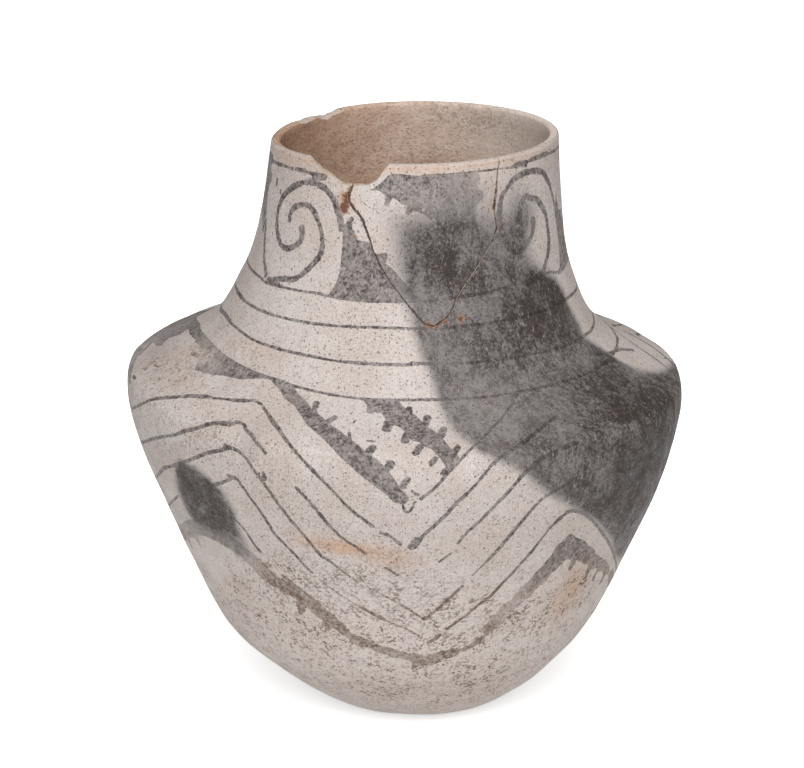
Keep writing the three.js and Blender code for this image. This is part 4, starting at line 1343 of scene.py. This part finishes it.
def end_material(tree, tone, roughness, specular, relief, strength, depth):
    """The last nodes of a material: its shader, with a relief of a depth in millimetres."""
    values = {"Strength": strength, "Distance": depth / METRE, "Height": relief}
    bump = node(tree, "ShaderNodeBump", {}, values)
    surface = {"Base Color": tone, "Roughness": roughness, "Specular IOR Level": specular, "Normal": bump}
    shader = node(tree, "ShaderNodeBsdfPrincipled", {}, {"IOR": CLAY_IOR, **surface})
    node(tree, "ShaderNodeOutputMaterial", {}, {"Surface": shader})


def grains(tree, rows):
    """Noises by name. Each row has a place, its features' size in millimetres, detail and roughness."""
    made = {}
    for seed, (name, place, size, detail, roughness) in rows.items():
        values = {"Vector": place, "W": seed, "Scale": 1 / size, "Detail": detail, "Roughness": roughness}
        made[name] = node(tree, *NOISE, values)
    return made


def specks(tree, place, rows):
    """Scattered dots as a mask, in rows of [cell size, share of cells with a dot, radius in cells]."""
    mask = 0.0
    for size, share, radius in rows:
        cells = node(tree, "ShaderNodeTexVoronoi", {}, {"Vector": place, "Scale": 1 / size})
        dot = node(tree, *RAMP, (cells.outputs["Distance"], radius, radius * 0.55))
        tone = node(tree, "ShaderNodeSeparateColor", {}, (cells.outputs["Color"],))
        rare = node(tree, "ShaderNodeMath", {"operation": "LESS_THAN"}, (tone.outputs[0], share))
        mask = node(tree, *LARGER, (mask, node(tree, *MULTIPLY, (dot, rare))))
    return mask


def layered(tree, tone, rows):
    """Lays colours over a tone, in rows of [mask, the ramp that makes it a share, colour]."""
    for mask, limits, color in rows:
        share = node(tree, *RAMP, (mask, *limits)) if limits else mask
        tone = node(tree, *MIX, {0: share, 6: tone, 7: color})
    return tone


def summed(tree, start, rows):
    """A start and [value, weight] rows added up."""
    for value, weight in rows:
        start = node(tree, *MULTIPLY_ADD, (value, weight, start))
    return start


def faded(tree, value, rows):
    """A value times each [mask, low, high, share at low, share at high]."""
    for mask, *limits in rows:
        value = node(tree, *MULTIPLY, (value, node(tree, *RAMP, (mask, *limits))))
    return value


def painted_clay(settings):
    """Slip-painted fired clay: a chalky off-white slip over a grey-buff body, with a mineral paint that
    soaked in, smoke clouds, ground stains and small dark pits. Inside, the bare body is rough and buff.
    """
    material, tree, place = new_material("Slip-Painted Fired Clay", settings.slip_color[:])
    upright = node(tree, *STRETCH, {"Vector": place, "Scale": (1.0, 1.0, 0.45)})
    level = node(tree, *STRETCH, {"Vector": place, "Scale": (0.5, 0.5, 1.6)})
    streaks = node(tree, *STRETCH, {"Vector": place, "Scale": (0.22, 0.22, 1.5)})
    rows = {
        0: ("broad", place, 34, 3, 0.5),
        1: ("patch", place, 7, 4, 0.6),
        2: ("fine", place, 1.6, 4, 0.65),
        3: ("tiny", place, 0.5, 2, 0.6),
        5: ("ragged", place, 2.6, 3, 0.6),
        6: ("wear", place, 4.2, 5, 0.68),
        7: ("swell", place, 13, 2, 0.5),
        8: ("mottle", upright, 5.5, 6, 0.68),
        9: ("scraped", streaks, 3.2, 3, 0.55),
        12: ("bare", place, 1.1, 4, 0.7),
        14: ("grit", place, 1.5, 5, 0.68),
        15: ("chalk", upright, 1.2, 4, 0.66),
        16: ("blotch", place, 16, 3, 0.6),
        17: ("wiped", level, 1.5, 4, 0.7),
    }
    grain = grains(tree, rows)
    broad, patch, fine, tiny = (grain[name] for name in ("broad", "patch", "fine", "tiny"))
    marks = ("way_up", "soil", "rust", "brush_line", "brush_reach", "painted_area", "rubbed", "smoke")
    stored = {}
    for name in (*marks, "gritty", "crack", "glue", "khaki", "inside"):
        stored[name] = node(tree, "ShaderNodeAttribute", {"attribute_name": name}).outputs["Fac"]

    # The slip, thin in patches, with painted light that makes it paler low down, and the ground's stains in
    # it
    worn_slip = settings.worn_slip_color[:]
    soiled = faded(tree, stored["soil"], [(patch, 0.3, 0.65, 0.45, 1.1)])
    rusty = faded(tree, stored["rust"], [(fine, 0.35, 0.6, 0.5, 1)])
    rows = [
        (broad, (0.35, 0.65), worn_slip),
        (patch, (0.5, 0.72, 0, 0.45), worn_slip),
        (fine, (0.53, 0.68, 0, 0.5), linear("#9c8c82")),
        (tiny, (0.53, 0.66, 0, 0.6), linear("#85766d")),
        (tiny, (0.47, 0.34, 0, 0.5), linear("#f6f0ec")),
        # Painted light: the slip paler low down on the belly
        (stored["way_up"], (172, 95, 0, 0.5), linear("#ebe2dc")),
        (soiled, None, linear("#c6b4a8")),
        (rusty, None, linear("#c9a284")),
    ]
    tone = layered(tree, settings.slip_color[:], rows)

    # Brush lines and areas, with ragged edges that the ground ate into low down
    edge = summed(tree, -0.9, [(grain["ragged"], 1.1), (fine, 0.7)])
    across = node(tree, "ShaderNodeMath", {"operation": "ABSOLUTE"}, (stored["brush_line"],))
    line = summed(tree, across, [(edge, 0.8), (grain["swell"], 1.3)])
    line = node(tree, *RAMP, (line, 1.12 + 0.65, 0.72 + 0.65))
    close = node(tree, *ADD, (stored["brush_reach"], edge))
    line = faded(tree, line, [(close, 0.38, -0.05)])
    low = node(tree, *RAMP, (stored["way_up"], 154, 122))
    eaten = node(tree, *MULTIPLY, (low, node(tree, *MULTIPLY_ADD, (patch, 9.0, -4.8))))
    area = node(tree, *ADD, (stored["painted_area"], eaten))
    area = node(tree, *MULTIPLY_ADD, (edge, node(tree, *MULTIPLY_ADD, (low, 1.2, 0.8)), area))
    solid = node(tree, *RAMP, (area, -0.18, 0.22))

    # How much of the paint is left
    rows = [
        (grain["wear"], 0.34, 0.62, 1.15, 0.74),
        (fine, 0.38, 0.64, 1.12, 0.62),
        (tiny, 0.38, 0.62, 1.08, 0.76),
    ]
    covered = faded(tree, node(tree, *LARGER, (line, solid)), rows)
    gone = faded(tree, stored["rubbed"], [(patch, 0.35, 0.6, 0.5, 1.2)])
    gone = node(tree, *MULTIPLY_ADD, (low, 0.06, gone))
    left = node(tree, *SUBTRACT, (node(tree, *RAMP, (solid, 0, 1, 1.18, 0.92)), gone))
    painted = node(tree, *MULTIPLY, (covered, node(tree, *CLAMP, (left,))))
    painted = node(tree, *CLAMP, (painted,))
    paint = node(tree, *MIX, {0: low, 6: settings.paint_color[:], 7: linear("#654d3d")})
    tone = node(tree, *MIX, {0: painted, 6: tone, 7: paint})

    # The smoke clouds, mottled from ash grey to black and darker over paint. The start of the sum takes
    # half of each noise's weight off again, and the smoke that is middle grey.
    rows = [
        (stored["smoke"], 1.6),
        (grain["mottle"], 2.6),
        (fine, 3.0),
        (tiny, 2.4),
        (painted, 0.26),
        (grain["blotch"], 1.3),
    ]
    darkness = summed(tree, -0.64 * 1.6 - (2.6 + 3.0 + 2.4 + 1.3) / 2, rows)
    dark = settings.smoke_color[:]
    smoke = layered(tree, linear("#868180"), [(darkness, (-0.25, 1.25), dark)])
    smoky = faded(tree, stored["smoke"], [(fine, 0.42, 0.7, 1.05, 0.92)])
    smoky = node(tree, *CLAMP, (smoky, 0, 0.96))

    # Pits, grit, chalky flecks that the smoke mostly hides, crumbs along the cracks and run-out glue
    pits = specks(tree, place, [(4.6, 0.35, 0.16), (2.4, 0.45, 0.21), (1.5, 0.42, 0.27)])
    grit = summed(tree, grain["grit"], [(stored["gritty"], 0.065)])
    grit = node(tree, *RAMP, (grit, 0.54, 0.6))
    soil = node(tree, *RAMP, (stored["soil"], 0.05, 0.6))
    ground = summed(tree, soil, [(stored["gritty"], 0.8)])
    rows = [(patch, 0.38, 0.6, 0.25, 1), (broad, 0.35, 0.6, 0.6, 1), (ground, 0, 0.8, 0.08, 1)]
    grit = faded(tree, grit, rows)
    chipped = node(tree, *RAMP, (grain["blotch"], 0.5, 0.62))
    kept = faded(tree, smoky, [(chipped, 0, 1, 0.8, 0.25)])
    chalk = faded(tree, node(tree, *SUBTRACT, (1.0, kept)), [(grain["chalk"], 0.55, 0.68, 0, 0.38)])
    crumbled = summed(tree, stored["crack"], [(fine, 0.9)])
    gummed = summed(tree, stored["glue"], [(fine, 1.6)])
    rows = [
        (smoky, None, smoke),
        (node(tree, *MULTIPLY, (pits, 0.52)), None, linear("#4d4039")),
        (grit, None, linear("#665041")),
        (chalk, None, linear("#eae3de")),
        (crumbled, (0.95, 1.25, 0, 0.9), linear("#35271f")),
        (gummed, (0.95, 1.25, 0, 0.45), linear("#a67c5f")),
        (gummed, (1.25, 1.55, 0, 0.92), linear("#6c432c")),
    ]
    tone = layered(tree, tone, rows)

    # The bare inside, with painted shade that makes it darker and warmer to the left and deep down, and
    # painted light that makes it paler to the right
    rows = [
        (patch, (0.35, 0.65), linear("#dac1b0")),
        (fine, (0.48, 0.66, 0, 0.6), linear("#9b8070")),
        (tiny, (0.54, 0.68, 0, 0.5), linear("#efe2d6")),
        (grain["wiped"], (0.54, 0.66, 0, 0.42), linear("#8a6f60")),
    ]
    buff = layered(tree, settings.inner_color[:], rows)
    spot = node(tree, "ShaderNodeSeparateXYZ", {}, (place,))
    # Painted shade: the inside darker and warmer to the left and deeper down, multiplied in
    shade_to_left = node(tree, *RAMP, (spot.outputs["X"], 25, -55))
    shade_deep_down = node(tree, *RAMP, (spot.outputs["Z"], 286, 245, 0, 0.85))
    painted_inside_shade = node(tree, *LARGER, (shade_to_left, shade_deep_down))
    buff = node(tree, *TINT, {0: painted_inside_shade, 6: buff, 7: linear("#e6d3c2")})
    stained = faded(tree, stored["khaki"], [(fine, 0.4, 0.6, 0.35, 1)])
    holes = node(tree, *MULTIPLY, (specks(tree, place, [(3, 0.12, 0.15)]), 0.7))
    rows = [
        # Painted light: the inside paler to the right
        (spot.outputs["X"], (10, 60, 0, 0.5), linear("#eee4dc")),
        (stained, None, linear("#8d7b68")),
        (holes, None, linear("#4b3a31")),
    ]
    buff = layered(tree, buff, rows)
    bare = summed(tree, stored["inside"], [(patch, 1.2)])
    bare = node(tree, *RAMP, (bare, 0.9, 1.22))
    tone = node(tree, *MIX, {0: bare, 6: tone, 7: buff})

    roughness = node(tree, *RAMP, (patch, 0.3, 0.7, 0.58, 0.8))
    roughness = node(tree, *MULTIPLY_ADD, (painted, -0.06, roughness))
    rough_inside = node(tree, *MULTIPLY, (bare, grain["bare"]))
    rows = [(fine, 0.5), (grain["scraped"], 0.5), (tiny, 0.3), (pits, -1.1), (rough_inside, 1.6)]
    end_material(tree, tone, roughness, 0.28, summed(tree, 0.0, rows), 0.75, 0.4)
    return material


def broken_clay(settings):
    """Old broken edge of the fired clay, worn soft: the grey-buff body with pale and dark temper grains."""
    material, tree, place = new_material("Worn Broken Clay", settings.worn_slip_color[:])
    grain = grains(tree, {1: ("patch", place, 5, 4, 0.6), 2: ("fine", place, 1.1, 4, 0.7)})
    rows = [
        (grain["patch"], (0.35, 0.65), linear("#bfa793")),
        (grain["fine"], (0.52, 0.7, 0, 0.55), linear("#9d8978")),
        (specks(tree, place, [(1.6, 0.4, 0.28)]), None, linear("#e6dfd8")),
        (specks(tree, place, [(2.2, 0.25, 0.22)]), None, linear("#56483f")),
    ]
    tone = layered(tree, linear("#cdbfb4"), rows)
    end_material(tree, tone, 0.86, 0.2, grain["fine"], 0.8, 0.5)
    return material


def old_glue(settings):
    """Old brown glue, set hard: dark and a little glossy, dusted pale where clay crumbs stick to it."""
    material, tree, place = new_material("Old Brown Glue", settings.glue_color[:])
    patch = grains(tree, {1: ("patch", place, 1.4, 4, 0.6)})["patch"]
    crumbs = node(tree, *MULTIPLY, (specks(tree, place, [(0.9, 0.3, 0.3)]), 0.8))
    rows = [(patch, (0.35, 0.65), linear("#50321f")), (crumbs, None, linear("#d9cabb"))]
    tone = layered(tree, settings.glue_color[:], rows)
    roughness = node(tree, *RAMP, (patch, 0.3, 0.7, 0.3, 0.6))
    end_material(tree, tone, roughness, 0.5, patch, 0.5, 0.2)
    return material


def material_once(name, maker, settings):
    """The material of that name, made if the file has none yet."""
    return bpy.data.materials.get(name) or maker(settings)


def clay_materials(settings):
    """The skin's material, and the broken edges'."""
    skin = material_once("Slip-Painted Fired Clay", painted_clay, settings)
    return [skin, material_once("Worn Broken Clay", broken_clay, settings)]


def finished(piece, cad_node, slot):
    """Shades a piece, stores its paint marks if it is slipped clay, hides the CAD node that it stands for
    and hangs the piece under the root body.
    """
    mesh = piece.data
    if slot == "slipped_clay":
        paint_marks(mesh)
    mesh.shade_smooth()
    mesh.set_sharp_from_angle(angle=math.radians(38))
    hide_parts(cad_node)
    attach(piece, "root")


def color_setting(name, description, default):
    """A colour of the settings."""
    return bpy.props.FloatVectorProperty(
        name=name, description=description, subtype="COLOR", size=4, min=0, max=1, default=linear(default)
    )


def length_setting(name, description, default):
    """A length of the settings."""
    return bpy.props.FloatProperty(name=name, description=description, subtype="DISTANCE", default=default)


class JarSettings(bpy.types.PropertyGroup):
    """Colours and small sizes of the jar."""

    slip_color: color_setting("Slip", "Chalky coat over the clay", "#d6ccc7")
    worn_slip_color: color_setting("Worn Slip", "Where the coat is thin", "#c9bcb4")
    paint_color: color_setting("Paint", "Mineral paint of the bands", "#474242")
    smoke_color: color_setting("Smoke", "Darkest cloud left by the firing", "#2b221e")
    inner_color: color_setting("Inside", "Bare clay inside the jar", "#e9d5c7")
    glue_color: color_setting("Glue", "Old glue in the cracks", "#2e1f18")
    dent_depth: length_setting("Dent Depth", "How deep the fingers pressed the wall", 0.0012)
    dent_size: length_setting("Dent Size", "How wide the dents are", 0.036)
    crack_gap: length_setting("Crack Gap", "How far the sherd stands off", 0.0004)
    glue_bead: length_setting("Glue Bead", "Radius of the glue at the surface", 0.00024)
    pit_count: bpy.props.IntProperty(name="Pits", description="Small pits in the wall", default=MORE_PITS)


class JAR_OT_clay_wall(bpy.types.Operator):
    """Builds the clay wall, with its chips and the sherd's hole"""

    bl_idname = "jar.clay_wall"
    bl_label = "Clay Wall"

    def execute(self, context):
        settings = context.scene.jar
        materials = clay_materials(settings)
        wall = wrapped_sheet("clay_wall", settings, materials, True)
        combined(wall, sherd_cutter("Hole", -1, settings.crack_gap * METRE, materials), "DIFFERENCE")
        combined(wall, chip_cutter("Front Chip", FRONT_CHIP, materials), "DIFFERENCE")
        combined(wall, chip_cutter("Back Chip", BACK_CHIP, materials), "DIFFERENCE")
        if len(wall.data.polygons) < 1000:
            raise RuntimeError("the wall was lost in the cuts")
        finished(wall, "jar_body", "slipped_clay")
        return {"FINISHED"}


class JAR_OT_neck_sherd(bpy.types.Operator):
    """Builds the refitted sherd of the neck"""

    bl_idname = "jar.neck_sherd"
    bl_label = "Neck Sherd"

    def execute(self, context):
        settings = context.scene.jar
        materials = clay_materials(settings)
        sherd = wrapped_sheet("refitted_sherd", settings, materials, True)
        combined(sherd, sherd_cutter("Sherd", 1, settings.crack_gap * METRE, materials), "INTERSECT")
        combined(sherd, chip_cutter("Front Chip", FRONT_CHIP, materials), "DIFFERENCE")
        if len(sherd.data.polygons) < 200:
            raise RuntimeError("the sherd was lost in the cuts")
        finished(sherd, "neck_sherd", "slipped_clay")
        return {"FINISHED"}


class JAR_OT_glue_seams(bpy.types.Operator):
    """Lays the old glue in the two cracks"""

    bl_idname = "jar.glue_seams"
    bl_label = "Glue Seams"

    def execute(self, context):
        settings = context.scene.jar
        glue = material_once("Old Brown Glue", old_glue, settings)
        left = glue_seam("old_glue_left", LEFT_CRACK, 0.0, glue, settings)
        right = glue_seam("old_glue_right", RIGHT_CRACK, 1.1, glue, settings)
        for piece, cad_node in ((left, "glue_seam_left"), (right, "glue_seam_right")):
            if not piece.data.polygons:
                raise RuntimeError(f"{piece.name} has no faces")
            finished(piece, cad_node, "aged_glue")
        return {"FINISHED"}


class JAR_OT_stage(bpy.types.Operator):
    """Sets up the white floor, the lamps and the camera"""

    bl_idname = "jar.stage"
    bl_label = "Stage"

    def execute(self, context):
        scene = context.scene
        floor_material()
        disc = floor_disc(FLOOR_RADIUS, 96)
        disc.data.materials.append(bpy.data.materials["White Floor"])
        key = area_lamp("Key Lamp", (-0.06, -2.15, 1.75), 1.3, 47)
        top = area_lamp("Top Lamp", (0.3, -0.5, 2.4), 1.6, 12)

        world = bpy.data.worlds.new("White Room")
        scene.world = world
        world.use_nodes = True
        tree = world.node_tree
        tree.nodes.clear()
        ray = node(tree, "ShaderNodeLightPath", {})
        level = node(tree, *MULTIPLY_ADD, (ray.outputs["Is Camera Ray"], 1 - ROOM_LIGHT, ROOM_LIGHT))
        sky = node(tree, "ShaderNodeBackground", {}, {"Color": (1.0, 1.0, 1.0, 1.0), "Strength": level})
        node(tree, "ShaderNodeOutputWorld", {}, {"Surface": sky})

        camera = bpy.data.cameras.new("Camera")
        camera.lens = CAMERA_LENS
        camera.sensor_width = 36.0
        camera.clip_start = 0.1
        holder = add_object("Camera", camera)
        tilt = math.radians(CAMERA_DOWN)
        target = Vector(CAMERA_TARGET) / METRE
        away = Vector((0, -math.cos(tilt), math.sin(tilt))) * CAMERA_DISTANCE / METRE
        holder.location = target + away
        holder.rotation_euler = (math.pi / 2 - tilt, 0, 0)
        scene.camera = holder
        scene.view_settings.view_transform = "Standard"
        return {"FINISHED"}


def floor_disc(radius, corners):
    """A round floor at the jar's foot."""
    around = np.linspace(0, math.tau, corners, endpoint=False)
    points = np.stack([radius * np.cos(around), radius * np.sin(around), np.zeros(corners)], -1)
    return add_object("floor", mesh_from("floor", points, [list(range(corners))]))


def floor_material():
    """White paper that keeps the jar's soft shadow and is even white further out."""
    material = bpy.data.materials.new("White Floor")
    material.use_nodes = True
    tree = material.node_tree
    tree.nodes.clear()
    place = node(tree, "ShaderNodeTexCoord", {})
    away = node(tree, "ShaderNodeVectorMath", {"operation": "LENGTH"}, (place.outputs["Object"],))
    ray = node(tree, "ShaderNodeLightPath", {})
    seen = ray.outputs["Is Camera Ray"]
    for kind in ("Is Glossy Ray", "Is Transmission Ray"):
        seen = node(tree, *LARGER, (seen, ray.outputs[kind]))
    level = faded(tree, seen, [(away.outputs["Value"], 0.04, 0.22, 0.62, 1)])
    paper = node(tree, "ShaderNodeBsdfDiffuse", {}, {"Color": linear("#ececec")})
    glow = node(tree, "ShaderNodeEmission", {}, {"Strength": level})
    both = node(tree, "ShaderNodeAddShader", {}, (paper, glow))
    node(tree, "ShaderNodeOutputMaterial", {}, {"Surface": both})


def area_lamp(name, place, size, power):
    """A soft lamp turned to the jar's middle."""
    lamp = bpy.data.lights.new(name, "AREA")
    lamp.shape = "DISK"
    lamp.size = size
    lamp.energy = power
    holder = add_object(name, lamp)
    holder.location = place
    toward = Vector(CAMERA_TARGET) / METRE - Vector(place)
    holder.rotation_euler = toward.to_track_quat("-Z", "Y").to_euler()
    return holder


class JAR_PT_panel(bpy.types.Panel):
    """Lists the jar's pieces and settings"""

    bl_idname = "JAR_PT_panel"
    bl_label = "Mended Jar"
    bl_space_type = "VIEW_3D"
    bl_region_type = "UI"
    bl_category = "Jar"

    def draw(self, context):
        for operator in OPERATORS:
            self.layout.operator(operator.bl_idname)
        for name in JarSettings.__annotations__:
            self.layout.prop(context.scene.jar, name)


OPERATORS = (JAR_OT_clay_wall, JAR_OT_neck_sherd, JAR_OT_glue_seams, JAR_OT_stage)
CLASSES = (JarSettings, *OPERATORS, JAR_PT_panel)


def register():
    for cls in CLASSES:
        bpy.utils.register_class(cls)
    bpy.types.Scene.jar = bpy.props.PointerProperty(type=JarSettings)


def unregister():
    del bpy.types.Scene.jar
    for cls in reversed(CLASSES):
        bpy.utils.unregister_class(cls)


def main():
    """Builds everything in order."""
    register()
    bpy.ops.jar.clay_wall()
    bpy.ops.jar.neck_sherd()
    bpy.ops.jar.glue_seams()
    bpy.ops.jar.stage()
    bpy.context.view_layer.update()


if __name__ == "__main__":
    main()
